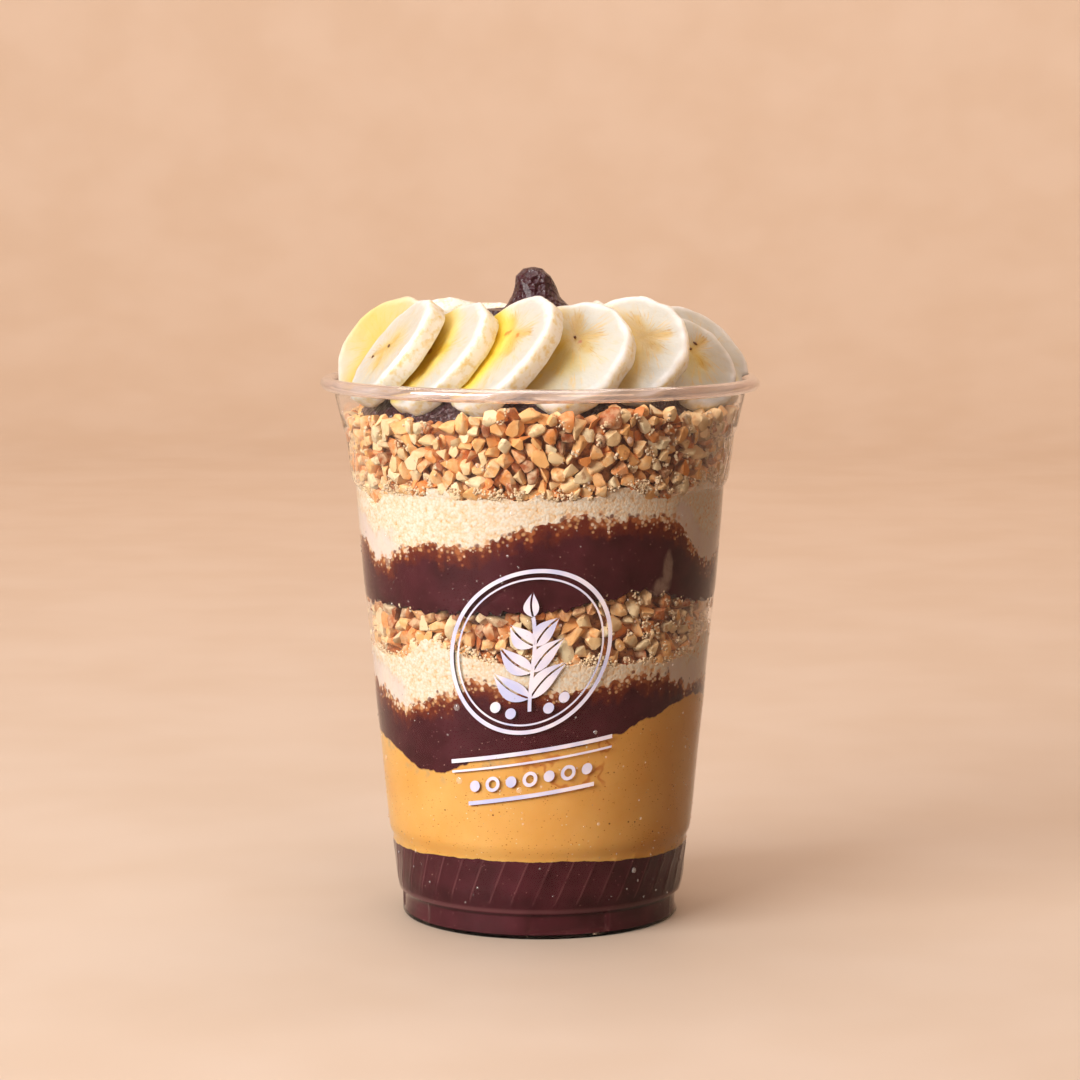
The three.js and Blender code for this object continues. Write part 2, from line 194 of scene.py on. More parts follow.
def grid_faces(rows, columns, wrap=True, closed=False):
    """Quads of a grid of points; wrap joins its last column to the first, and closed its last row."""
    faces = []
    for row in range(rows if closed else rows - 1):
        low = row * columns
        high = (row + 1) % rows * columns
        for column in range(columns if wrap else columns - 1):
            after = (column + 1) % columns
            faces.append((low + column, low + after, high + after, high + column))
    return faces


def drum_faces(rows, columns):
    """Quads round a drum of rings, and a face over each end."""
    last = (rows - 1) * columns
    return grid_faces(rows, columns) + [tuple(reversed(range(columns))), tuple(range(last, last + columns))]


class Shape:
    """Points in mm and faces, gathered part by part, with values for each point."""

    def __init__(self):
        self.points = []
        self.faces = []
        self.kinds = []
        self.values = {}
        self.count = 0

    def add(self, points, faces, kinds=0, **values):
        """Adds a part; kinds says which material its faces have, and the faces count from its first point."""
        points = np.reshape(points, (-1, 3))
        self.faces += [tuple(self.count + i for i in face) for face in faces]
        self.kinds += [kinds] * len(faces) if isinstance(kinds, int) else kinds
        self.points.append(points)
        self.count += len(points)
        for name, value in values.items():
            full = np.zeros((len(points), *np.shape(value)[1:])) + value
            self.values.setdefault(name, []).append(full)

    def make(self, name, materials, nodes=(), smooth=True):
        """Mesh object which rides on the body and takes the place of the nodes."""
        mesh = bpy.data.meshes.new(name)
        mesh.from_pydata((np.concatenate(self.points) * MM).tolist(), [], self.faces)
        mesh.validate()
        for material in materials:
            mesh.materials.append(material)
        if any(self.kinds):
            mesh.polygons.foreach_set("material_index", self.kinds)
        mesh.polygons.foreach_set("use_smooth", [smooth] * len(mesh.polygons))
        piece = bpy.data.objects.new(name, mesh)
        bpy.context.scene.collection.objects.link(piece)
        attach(piece, "root")
        if nodes:
            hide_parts(*nodes)
        for label, parts in self.values.items():
            values = np.concatenate(parts).astype(np.float32)
            vector = values.ndim == 2
            layer = mesh.attributes.new(label, "FLOAT_VECTOR" if vector else "FLOAT", "POINT")
            layer.data.foreach_set("vector" if vector else "value", values.ravel())
        return piece


# Helpers for materials

def linear(red, green, blue):
    """Linear colour from 0-255 display values."""
    def one(value):
        value /= 255
        return value / 12.92 if value <= 0.04045 else ((value + 0.055) / 1.055) ** 2.4
    return (one(red), one(green), one(blue), 1)


class Value:
    """What a node gives; the signs of arithmetic make the next node from it."""

    def __init__(self, nodes, socket):
        self.nodes = nodes
        self.socket = socket

    def __add__(self, other):
        return self.nodes.maths("ADD", self, other)

    def __sub__(self, other):
        return self.nodes.maths("SUBTRACT", self, other)

    def __rsub__(self, other):
        return self.nodes.maths("SUBTRACT", other, self)

    def __mul__(self, other):
        return self.nodes.maths("MULTIPLY", self, other)

    def __truediv__(self, other):
        return self.nodes.maths("DIVIDE", self, other)


class Nodes:
    """Short forms for one material's nodes; sizes are in mm, and colours are display values up to 255."""

    def __init__(self, name):
        self.material = bpy.data.materials.new(name)
        self.material.use_nodes = True
        self.tree = self.material.node_tree
        self.tree.nodes.clear()
        self.output = self.new("OutputMaterial")
        self.shader = self.new("BsdfPrincipled")
        self.tree.links.new(self.shader.outputs[0], self.output.inputs["Surface"])
        self.place = Value(self, self.new("TexCoord").outputs["Object"])

    def new(self, kind, **inputs):
        node = self.tree.nodes.new("ShaderNode" + kind)
        for name, value in inputs.items():
            self.put(node.inputs[name], value)
        return node

    def put(self, socket, value):
        if isinstance(value, Value):
            self.tree.links.new(value.socket, socket)
        else:
            socket.default_value = value

    def finish(self, **values):
        """Sets the shader's values and gives the material."""
        for name, value in values.items():
            self.put(self.shader.inputs[name.replace("_", " ")], value)
        return self.material

    def attribute(self, name, output="Fac"):
        node = self.new("Attribute")
        node.attribute_name = name
        return Value(self, node.outputs[output])

    def stretched(self, upward):
        """Place with its height scaled by this."""
        return Value(self, self.new("Mapping", Vector=self.place, Scale=(1, 1, upward)).outputs["Vector"])

    def noise(self, size, place=None, detail=3.0, rough=0.55, seed=0.0):
        """Noise from 0 to 1 with features of about this size."""
        node = self.new("TexNoise")
        node.noise_dimensions = "4D"
        for name, value in (("Vector", place or self.place), ("W", seed), ("Scale", 1 / (size * MM)),
                            ("Detail", detail), ("Roughness", rough)):
            self.put(node.inputs[name], value)
        return Value(self, node.outputs["Fac"])

    def cells(self, size, place=None, output="Distance"):
        node = self.new("TexVoronoi", Vector=place or self.place, Scale=1 / (size * MM), Randomness=1.0)
        return Value(self, node.outputs[output])

    def maths(self, kind, first, second=0.0):
        node = self.new("Math")
        node.operation = kind
        self.put(node.inputs[0], first)
        self.put(node.inputs[1], second)
        return Value(self, node.outputs[0])

    def ramp(self, value, low, high, start=0.0, end=1.0):
        """Smooth step of a value from low to high."""
        node = self.new("MapRange", Value=value)
        node.interpolation_type = "SMOOTHSTEP"
        for name, number in (("From Min", low), ("From Max", high), ("To Min", start), ("To Max", end)):
            node.inputs[name].default_value = number
        return Value(self, node.outputs["Result"])

    def between(self, value, start, full, fading, end):
        """1 between two values and 0 outside, with soft steps."""
        return self.ramp(value, start, full) * self.ramp(value, end, fading)

    def colours(self, value, *stops):
        """Colour ramp: stops are pairs of place and colour."""
        node = self.new("ValToRGB", Fac=value)
        band = node.color_ramp
        while len(band.elements) < len(stops):
            band.elements.new(0.5)
        for element, (at, colour) in zip(band.elements, stops):
            element.position = at
            element.color = linear(*colour)
        return Value(self, node.outputs["Color"])

    def mix(self, share, first, second):
        node = self.new("Mix")
        node.data_type = "RGBA"
        self.put(node.inputs["Factor"], share)
        for index, colour in ((6, first), (7, second)):
            self.put(node.inputs[index], colour if isinstance(colour, Value) else linear(*colour))
        return Value(self, node.outputs[2])

    def bump(self, height, distance, strength=1.0, below=None):
        node = self.new("Bump", Strength=strength, Distance=distance * MM, Height=height)
        if below is not None:
            self.put(node.inputs["Normal"], below)
        return Value(self, node.outputs["Normal"])

    def part(self, name, vector):
        node = self.new("SeparateXYZ")
        self.put(node.inputs[0], vector)
        return Value(self, node.outputs[name])

    def axis(self, name):
        return self.part(name, self.place) / MM

    def clear_to_shadows(self, *tint):
        """Lets light through to what is behind, so that a clear piece casts no dark shadow."""
        blend = self.new("MixShader")
        through = self.new("BsdfTransparent", Color=(*tint, 1))
        shadow = self.new("LightPath").outputs["Is Shadow Ray"]
        for index, socket in enumerate((shadow, self.shader.outputs[0], through.outputs[0])):
            self.tree.links.new(socket, blend.inputs[index])
        self.tree.links.new(blend.outputs[0], self.output.inputs["Surface"])


# Materials

ACAI_DARK = (61, 21, 26)
ACAI_MID = (86, 35, 42)
ACAI_BROWN = (112, 46, 32)
ACAI_ORANGE = (192, 112, 66)
CREAM = (252, 222, 188)
CREAM_DEEP = (232, 176, 122)


def plastic_material():
    nodes = Nodes("clear_plastic")
    nodes.clear_to_shadows(0.99, 0.99, 0.99)
    return nodes.finish(Base_Color=(0.99, 0.99, 0.99, 1), Roughness=0.03, IOR=1.25, Transmission_Weight=1.0,
                        Specular_IOR_Level=0.35, Normal=nodes.bump(nodes.noise(18, detail=2), 0.35, 0.35))


def rim_material():
    """The rolled rim holds more plastic; its soft milky pinkish band is painted, standing in for the
    backdrop's light refracted and reflected in the roll.
    """
    nodes = Nodes("rolled_plastic")
    nodes.clear_to_shadows(0.95, 0.94, 0.94)
    # Painted reflection: the pinkish milky tint stands in for the backdrop's light seen through and glancing
    # in the roll.
    tint = nodes.colours(nodes.noise(9, detail=2), (0.3, (242, 228, 224)), (0.7, (252, 246, 244)))
    return nodes.finish(Base_Color=tint, Roughness=0.04, IOR=1.5, Transmission_Weight=0.92, Coat_Weight=0.8,
                        Coat_Roughness=0.03, Normal=nodes.bump(nodes.noise(7, detail=2), 0.02, 0.4))


def drop_material():
    nodes = Nodes("water_drops")
    nodes.clear_to_shadows(0.97, 0.97, 0.98)
    return nodes.finish(Base_Color=(1, 1, 1, 1), Roughness=0.02, IOR=1.36, Transmission_Weight=0.85,
                        Normal=nodes.bump(nodes.noise(0.6), 0.02, 0.4))


def print_material():
    nodes = Nodes("printed_ink")
    colour = nodes.colours(nodes.noise(9, detail=2), (0.38, (176, 184, 222)), (0.6, (216, 214, 228)))
    rough = nodes.ramp(nodes.noise(0.5, detail=4), 0.3, 0.5, 0.7, 0.5)
    return nodes.finish(Base_Color=colour, Roughness=rough)


def painted_rib_highlights(nodes):
    """Painted highlights: fine slanting lines where the ribs of the lower band gather the light, broken here
    and there, and one round the lip.
    """
    right, away, height = (nodes.axis(name) for name in "XYZ")
    turn = nodes.maths("ARCTAN2", right, away * -1.0)
    wave = nodes.maths("COSINE", turn * float(RIB_COUNT) - height * RIB_SLANT)
    highlight_breaks = nodes.ramp(nodes.noise(5, seed=6), 0.38, 0.55, 0.35, 1)
    ribs = nodes.ramp(wave, 0.93, 0.99, 0, 0.34) * nodes.between(height, 7.4, 8.4, 17.4, 18.2) * highlight_breaks
    lip = nodes.between(height, 5.8, 6.2, 6.4, 7.1) * 0.4
    return nodes.maths("MAXIMUM", ribs, lip)


def acai_material(name, mottled=True, moist=False, rib_light_and_shade=False):
    """Dark purple puree; near its top it is streaked with the powder or nuts on it."""
    nodes = Nodes(name)
    base = nodes.colours(nodes.noise(7), (0.3, ACAI_DARK), (0.7, ACAI_MID))
    for size, tone, seed in ((1.3, (128, 76, 76), 3), (2.1, (180, 132, 120), 8)):
        speck = nodes.ramp(nodes.cells(size, nodes.stretched(1 + 0.04 * seed)), 0.2 / size, 0.1 / size)
        base = nodes.mix(speck * nodes.ramp(nodes.noise(2.2, seed=seed), 0.42, 0.56), base, tone)
    if mottled:
        level = nodes.attribute("below_top") - (nodes.noise(6, rough=0.6, seed=4) - 0.45) * 8.0
        glow = (nodes.noise(1.5, detail=4, rough=0.65, seed=1) - 0.5) * 5.0 - level
        base = nodes.mix(nodes.ramp(glow, -4.6, -1.6, 0, 0.9), base, ACAI_BROWN)
        base = nodes.mix(nodes.ramp(glow, -1.6, 0.6, 0, 0.65), base, ACAI_ORANGE)
        for size, reach, tone in ((1.9, 5.0, ACAI_ORANGE), (1.5, 4.0, CREAM_DEEP), (1.1, 2.4, CREAM)):
            spot = nodes.cells(size, nodes.stretched(0.9 + 0.1 * size)) * 2.1
            base = nodes.mix(nodes.ramp((reach - level) / reach - spot, -0.1, 0.45, 0, 0.8), base, tone)
        film = nodes.attribute("film") * nodes.noise(2.2, detail=5, rough=0.7, seed=5) * 1.5
        base = nodes.mix(nodes.ramp(film, 0.2, 0.85, 0, 0.75), base, (180, 148, 130))
    if rib_light_and_shade:
        # Painted light: highlights of the ribs and the lip of the wall, and a painted shadow under the ledge
        # of the foot.
        base = nodes.mix(painted_rib_highlights(nodes), base, (140, 86, 86))
        # groove here is the painted shadow, a dark band under the ledge.
        groove = nodes.between(nodes.axis("Z"), 4.8, 5.3, 5.6, 5.9)
        base = nodes.mix(groove * 0.7, base, (30, 8, 10))
    if not moist:
        return nodes.finish(Base_Color=base, Roughness=0.3, Specular_IOR_Level=0.08)
    waves = nodes.bump(nodes.noise(1.6, detail=4), 0.8, 0.8)
    pits = nodes.bump(nodes.cells(1.1) - nodes.cells(2.3), 0.9, 0.9, waves)
    return nodes.finish(Base_Color=nodes.mix(0.75, base, (44, 8, 26)), Roughness=0.3, Coat_Weight=0.25,
                        Coat_Roughness=0.05, Normal=pits)


def peanut_butter_material():
    """Smooth butter with specks, a few darker veins at the front and a film of powder on the left."""
    nodes = Nodes("peanut_butter")
    base = nodes.colours(nodes.noise(12), (0.3, (242, 170, 82)), (0.7, (252, 188, 104)))
    for size, share, seed, tone in ((2.4, 0.07, 2, (150, 84, 36)), (1.3, 0.13, 5, (214, 128, 52)),
                                    (0.8, 0.16, 11, (206, 120, 50)), (1.6, 0.09, 8, (255, 226, 176))):
        spot = nodes.ramp(nodes.cells(size, nodes.stretched(1 + 0.05 * seed)), share + 0.04, share)
        base = nodes.mix(spot * nodes.ramp(nodes.noise(4, seed=seed), 0.48, 0.58), base, tone)
    depth = nodes.attribute("below_top")
    right = nodes.axis("X")
    swirl = nodes.maths("ABSOLUTE", nodes.noise(9, detail=2.5, seed=7) - 0.5)
    vein = nodes.ramp(swirl, 0.028, 0.006) * nodes.between(depth, 0, 0.6, 9, 12)
    base = nodes.mix(vein * nodes.between(right, -8, -2, 16, 22) * 0.6, base, (204, 104, 44))
    film = nodes.ramp(depth, 3.4, 1.2) * nodes.ramp(nodes.noise(5, seed=9), 0.45, 0.6)
    base = nodes.mix(film * nodes.ramp(right, -2, -12) * 0.55, base, (190, 160, 120))
    base = nodes.mix(nodes.ramp(depth, 0.35, 0.0, 0.0, 0.7), base, (140, 76, 40))
    return nodes.finish(Base_Color=base, Roughness=0.42, Subsurface_Weight=0.25, Subsurface_Scale=0.002,
                        Subsurface_Radius=(1.0, 0.5, 0.2), Specular_IOR_Level=0.1,
                        Normal=nodes.bump(nodes.noise(2.5), 0.12, 0.4))


def powder_material():
    """Fine milk powder, in soft grains with painted tan shade between them, and smeared smooth against the
    wall at the sides.
    """
    nodes = Nodes("milk_powder")
    # Painted shade: light on the grains and clumps and tan in the hollows between them, plus a random tone
    # for each grain.
    grain = nodes.cells(0.62)
    height = (1.0 - grain * grain) * 0.45 + nodes.noise(1.5, detail=4, rough=0.65) * 1.1
    shade = height + nodes.part("X", nodes.cells(0.62, output="Color")) * 0.22
    base = nodes.colours(shade - 0.3, (0.26, (234, 166, 106)), (0.4, (250, 206, 154)),
                         (0.58, (253, 219, 180)), (0.85, (255, 238, 214)))
    base = nodes.mix(nodes.ramp(nodes.cells(2.6), 0.15, 0.07, 0, 0.5), base, (240, 168, 88))
    drift = nodes.noise(4, nodes.stretched(0.5))
    film = nodes.colours(drift, (0.35, (242, 214, 202)), (0.65, (250, 226, 204)))
    blur = (nodes.noise(5, detail=4, rough=0.6, seed=2) - 0.5) * 1.8
    smear = nodes.ramp(nodes.attribute("smear") + blur, 0.25, 0.85)
    base = nodes.mix(smear * 0.85, base, film)
    level = nodes.attribute("above_bottom") + (nodes.noise(3, detail=2, seed=4) - 0.5) * 3.0
    for size, reach, tone in ((1.9, 3.0, (226, 160, 110)), (1.6, 2.0, ACAI_BROWN)):
        near = (reach - level) / reach - nodes.cells(size) * 1.9
        base = nodes.mix(nodes.ramp(near, -0.1, 0.5, 0, 0.85), base, tone)
    return nodes.finish(Base_Color=base, Roughness=0.85, Specular_IOR_Level=0.1,
                        Normal=nodes.bump(height * (1.0 - smear), 0.2, 0.9))


def crumb_material():
    nodes = Nodes("powder_crumbs")
    base = nodes.colours(nodes.noise(1.2), (0.3, (244, 206, 154)), (0.65, (253, 226, 190)))
    fine = nodes.bump(nodes.noise(0.3, detail=2), 0.1, 0.8)
    return nodes.finish(Base_Color=base, Roughness=0.9, Normal=fine)


def nut_material():
    """Chopped roasted nuts: pale cut faces, tan flesh and a few brown skins."""
    nodes = Nodes("chopped_nuts")
    base = nodes.colours(nodes.attribute("kind"), (0.0, (255, 230, 184)), (0.3, (255, 208, 148)),
                         (0.52, (252, 184, 112)), (0.7, (240, 152, 80)), (0.86, (198, 108, 52)),
                         (1.0, (146, 70, 36)))
    toast = nodes.noise(1.8, detail=4, rough=0.6, seed=2)
    base = nodes.mix(nodes.ramp(toast, 0.52, 0.72, 0, 0.55), base, (220, 138, 74))
    skin = nodes.noise(2.6, detail=4, rough=0.65, seed=9)
    base = nodes.mix(nodes.ramp(skin, 0.58, 0.66, 0, 0.6), base, (188, 108, 54))
    pale = nodes.attribute("cut") * nodes.ramp(nodes.noise(1.3, seed=5), 0.35, 0.65) * 0.6
    base = nodes.mix(pale, base, (255, 228, 182))
    stain = nodes.attribute("stain") + nodes.noise(1.8, seed=7) * 0.9
    base = nodes.mix(nodes.ramp(stain, 0.85, 1.35, 0, 0.9), base, (150, 66, 30))
    dents = nodes.bump(toast, 0.5, 0.4)
    return nodes.finish(Base_Color=base, Roughness=0.5, Specular_IOR_Level=0.25,
                        Normal=nodes.bump(nodes.noise(0.7, detail=4), 0.16, 0.6, dents))


def nut_gap_shade_material():
    """Core behind the nuts: crumbs and puree in tone, painted dark as the shade that falls between the nuts.
    """
    nodes = Nodes("painted_shade_between_nuts")
    base = nodes.colours(nodes.noise(1.6), (0.35, (84, 40, 28)), (0.65, (196, 130, 80)))
    return nodes.finish(Base_Color=base, Roughness=0.7, Normal=nodes.bump(nodes.noise(0.8), 0.4, 0.6))


def banana_material():
    """Cut face: cream, a three-armed yellow middle, a paler edge, and a painted amber glow and shade in the
    crevice under the next slice.
    """
    nodes = Nodes("banana_flesh")
    side = nodes.attribute("side")
    ray = nodes.attribute("ray", "Vector")
    wander = (nodes.noise(4) - 0.5) * 0.22
    reach = nodes.attribute("out") + wander
    base = nodes.colours(reach, (0.0, (186, 168, 112)), (0.34, (188, 178, 138)), (0.56, (186, 183, 168)),
                         (0.86, (187, 187, 180)), (0.96, (212, 212, 209)))
    line = nodes.attribute("arm") + wander * 0.35
    base = nodes.mix(nodes.ramp(line, 0.17, 0.0, 0, 0.7), base, (196, 160, 52))
    streak = nodes.ramp(nodes.noise(0.9, ray, seed=4), 0.5, 0.66, 0, 0.6)
    base = nodes.mix(streak * nodes.ramp(reach, 0.92, 0.6), base, (206, 172, 100))
    threads = nodes.ramp(nodes.noise(0.5, ray, detail=2, seed=12), 0.56, 0.64, 0, 0.55)
    base = nodes.mix(threads * nodes.ramp(line, 0.34, 0.1), base, (176, 128, 44))
    mottle = nodes.noise(2.4, detail=4, seed=3)
    base = nodes.mix(nodes.ramp(mottle, 0.52, 0.75, 0, 0.4), base, (196, 178, 134))
    fibre = nodes.noise(1.6, detail=4, rough=0.6, seed=5)
    wall = nodes.colours(fibre, (0.3, (212, 186, 122)), (0.42, (216, 206, 176)), (0.52, (224, 222, 213)))
    base = nodes.mix(side, base, wall)
    # Painted light: amber glow and shade in the crevice where the next slice lies, strongest next to it; the
    # slice in the key light takes a darker amber.
    crevice_glow_share = nodes.ramp(nodes.attribute("crease"), 0.08, 0.95, 0, 0.97) * (1.0 - side * 0.6)
    base = nodes.mix(crevice_glow_share, base, nodes.mix(nodes.attribute("lit"), (252, 212, 66), (214, 176, 52)))
    blot = nodes.attribute("stain") + (nodes.noise(1.2, seed=9) - 0.5)
    base = nodes.mix(nodes.ramp(blot, 0.5, 0.9, 0, 0.8), base, (190, 112, 40))
    dents = nodes.bump(mottle, 0.5, 0.35)
    return nodes.finish(Base_Color=base, Roughness=nodes.ramp(mottle, 0.3, 0.7, 0.3, 0.46),
                        Subsurface_Weight=0.85, Subsurface_Scale=0.006, Subsurface_Radius=(1.0, 0.95, 0.8),
                        Coat_Weight=0.2, Coat_Roughness=0.18,
                        Normal=nodes.bump(nodes.noise(0.9, detail=4, seed=6), 0.1, 0.5, dents))


def seed_material():
    nodes = Nodes("banana_seeds")
    base = nodes.colours(nodes.noise(0.4), (0.3, (60, 34, 20)), (0.7, (120, 74, 36)))
    return nodes.finish(Base_Color=base, Roughness=0.4, Normal=nodes.bump(nodes.noise(0.3), 0.05, 0.5))


def stage_material():
    nodes = Nodes("pale_floor")
    share = nodes.ramp(nodes.noise(60, detail=2), 0.3, 0.7, 0, 0.06)
    return nodes.finish(Base_Color=nodes.mix(share, (198, 180, 162), (255, 255, 255)), Roughness=0.6)


# Cup: a thin clear wall with ribbed bands, panels in the foot and a rolled rim

CUP_COLUMNS = 500
ROLL_SHEET = 0.4
RIB_DEPTH = 0.17
PANEL_DEPTH = 0.5
# Azimuths between which the foot has a sunk panel
FOOT_PANELS = [(-178, -137), (-87, -53), (-5, 29), (71, 112)]
OUTER_DETAIL = [(30.2, 0.0), (30.7, 0.2), (31.0, 0.7), (31.1, 5.0), (31.2, 5.6), (31.9, 6.1), (32.1, 7.2),
                (32.4, 9.65), (32.6, 12.4), (33.0, 15.2), (33.2, 17.8), (33.3, 18.6), (33.9, 19.6),
                (34.1, 20.7), (34.7, 26.3), (35.7, 37.3), (36.85, 48.2), (37.7, 59.2), (39.5, 75.5),
                (40.6, 89.0), (41.1, 96.4), (41.2, 97.2), (41.9, 98.1), (42.15, 98.9), (43.35, 108.2),
                (43.5, 108.8), (44.0, 109.6), (44.9, 113.7), (45.9, 118.0)]


def rows_of(profile, longest):
    """Profile with points added so that no step is longer than this."""
    rows = []
    for (r0, z0), (r1, z1) in zip(profile, profile[1:]):
        steps = max(1, math.ceil(math.hypot(r1 - r0, z1 - z0) / longest))
        rows += [(r0 + (r1 - r0) * k / steps, z0 + (z1 - z0) * k / steps) for k in range(steps)]
    return rows + [profile[-1]]


def relief(azimuth, height):
    """How far the ribs of both bands and the panels of the foot stand out from the wall."""
    ridge = 0.5 + 0.5 * np.cos(np.radians(RIB_COUNT * azimuth) - height * RIB_SLANT)
    lower = smoothstep(height, 7.0, 8.4) * smoothstep(height, 18.2, 17.2)
    upper = smoothstep(height, 98.6, 99.8) * smoothstep(height, 108.3, 107.2)
    panel = np.zeros(np.shape(azimuth))
    for first, last in FOOT_PANELS:
        panel += smoothstep(azimuth, first - 1.4, first + 1.4) * smoothstep(azimuth, last + 1.4, last - 1.4)
    foot = smoothstep(height, 1.0, 1.8) * smoothstep(height, 5.4, 4.8)
    return RIB_DEPTH * (lower + 0.5 * upper) * (ridge ** 9 - 0.2) - PANEL_DEPTH * panel * foot


def roll_ring(radius, first, last, step):
    """Part of a circle round the middle of the rolled rim, by angle in degrees."""
    count = max(2, round(abs(last - first) / step) + 1)
    return [(BEAD_CENTRE[0] + radius * math.cos(a), BEAD_CENTRE[1] + radius * math.sin(a))
            for a in np.radians(np.linspace(first, last, count))]


def inside_rows(*heights):
    return [(inside_radius(height), height) for height in heights]


def build_cup(materials):
    azimuth = all_round(CUP_COLUMNS)
    under = [(0.01, 2.3), (8, 2.3), (18, 2.3), (25.5, 2.3), (27, 1.5), (28.8, 0.3), (29.3, 0.0)]
    roll = [(46.05, 118.6)] + roll_ring(BEAD_RADIUS - ROLL_SHEET, 165, -120, 24)
    roll += roll_ring(BEAD_RADIUS, -122, 190, 19)
    neck = [(45.35, 118.3), (45.15, 117.6)] + inside_rows(113.7)
    inner = rows_of(inside_rows(109.7, 108.4, 98.5, 96.9), 1.5) + inside_rows(85, 72, 59.2, 45, 32)
    inner += rows_of(inside_rows(20.7, 18.2, 9.5, 6.5) + [(30.3, 5.7), (30.3, 1.5)], 1.0)
    floor = [(30.1, FOOT_FLOOR), (29.4, FOOT_FLOOR + 0.1), (27.4, 2.5),
             (FLOOR_RADIUS, FLOOR_TOP), (18, FLOOR_TOP), (8, FLOOR_TOP), (0.01, FLOOR_TOP)]
    points, kinds = [], []
    for rows, kind, shaped in ((under, 0, 0), (rows_of(OUTER_DETAIL, 1.35), 0, 1), (roll, 1, 0), (neck, 0, 0),
                               (inner, 0, 1), (floor, 0, 1)):
        for radius, height in rows:
            stand = relief(azimuth, height) if shaped and radius > 30 else 0.0
            points.append(at_azimuth(azimuth, radius + stand, height))
            kinds += [kind] * CUP_COLUMNS
    cup = Shape()
    cup.add(points, grid_faces(len(points), CUP_COLUMNS, closed=True), kinds)
    cup.make("clear_cup", materials, ["cup"])


# Layers: closed drums that touch the inside of the wall

COLUMNS = 420
SIDE_ROWS = 26
LAYER_SHARES = [0.001, 0.35, 0.7, 0.865, 0.9]
# Thin films of powder on a layer: azimuth, height, and half width in degrees and half height in mm
FILMS = {"acai_middle": [(44.6, 81, 2.6, 5), (42.5, 77.5, 4.5, 2.2), (36, 75.5, 6, 1.6), (-57, 83, 2, 3)]}


def ragged_edge(azimuth, seed, height, fine):
    """Unevenness of a boundary round the wall, in mm."""
    ring = at_azimuth(azimuth, 40.0, 0.0)
    return height * noise(ring, 0.25, seed, 2) + fine * noise(ring, 1.1, seed + 5, 2)


def build_layer(node, material, bottom, low_edge, top, high_edge):
    """Drum between two boundaries, each with the seed and heights of its unevenness."""
    azimuth = all_round(COLUMNS)
    low_edge = ragged_edge(azimuth, *low_edge)
    high_edge = ragged_edge(azimuth, *high_edge)
    low = layer_height(bottom, azimuth) + low_edge
    high = np.maximum(layer_height(top, azimuth) + high_edge, low + 0.4)
    foot = FLOOR_TOP - FOOT_FLOOR if bottom is FLOOR_LEVEL else 0.0
    points, below, above = [], [], []

    def add(ring, under_top, over_bottom):
        points.append(ring)
        below.append(under_top + 0 * azimuth)
        above.append(over_bottom + 0 * azimuth)

    def disc(share, layer, edge, drop=0.0):
        height = layer_height(layer, azimuth, share) + edge * share
        return at_azimuth(azimuth, share * (inside_radius(height) - 0.3), height - drop)

    for share in LAYER_SHARES:
        drop = max(0.0, share - LAYER_SHARES[3]) / (1 - LAYER_SHARES[3]) * foot
        add(disc(share, bottom, low_edge, drop), high - low, 0)
    low = low - foot
    for row in range(SIDE_ROWS):
        height = low + (high - low) * smoothstep(row, 0, SIDE_ROWS - 1)
        radius = layer_radius(height) + 0.12 + relief(azimuth, height)
        add(at_azimuth(azimuth, radius, height), high - height, height - low)
    for share in reversed(LAYER_SHARES):
        add(disc(share, top, high_edge), 0, high - low)
    rows = len(points)
    points, below, above = (np.concatenate(part) for part in (points, below, above))
    around = np.tile(azimuth, rows)
    film = np.zeros(len(points))
    for centre, level, wide, tall in FILMS.get(node, []):
        far = ((around - centre) / wide) ** 2 + ((points[:, 2] - level) / tall) ** 2
        film = np.maximum(film, np.exp(-far ** 2))
    spread = np.abs((around + 3 + 180) % 360 - 180)
    smear = smoothstep(spread, 40, 58) * smoothstep(above, 8.5, 3.5) * (1 - 0.5 * smoothstep(spread, 90, 130))
    layer = Shape()
    layer.add(points, drum_faces(rows, COLUMNS), below_top=below, above_bottom=above, film=film, smear=smear)
    layer.make(f"{node}_layer", [material], [node])


# Chopped nuts, packed in the ring by the wall, over a core painted dark as the shade between them

NUT_SHAPES = 60
NUT_DEPTH = 4.6
NUT_SIZES = (1.2, 2.0)
# Tones from pale to skin, and how often each comes
NUT_TONES = [0.05, 0.25, 0.5, 0.72, 0.92]
TONE_SHARES = [3, 5, 6, 4, 2]
CORE_COLUMNS = 180
CORE_GAP = 2.6


def rounded_chunk(source, points, faces):
    """Lump of about unit radius with a few flat cuts, and where it is cut."""
    points = points * [source.uniform(*limits) for limits in ((0.85, 1.1), (0.7, 0.95), (1.05, 1.35))]
    points = points * (1 + 0.16 * noise(points, 0.9, source.randint(0, 999)))[:, None]
    cut = np.zeros(len(points))
    for _ in range(source.randint(6, 9)):
        normal = np.array([source.gauss(0, 1) for _ in range(3)])
        normal /= np.linalg.norm(normal)
        beyond = points @ normal - source.uniform(0.42, 0.75)
        points = points - np.maximum(beyond, 0)[:, None] * normal
        cut[beyond > 0] = source.uniform(0.4, 1)
    points = points * (1 + 0.03 * noise(points, 2.6, source.randint(0, 999)))[:, None]
    return points, cut, faces


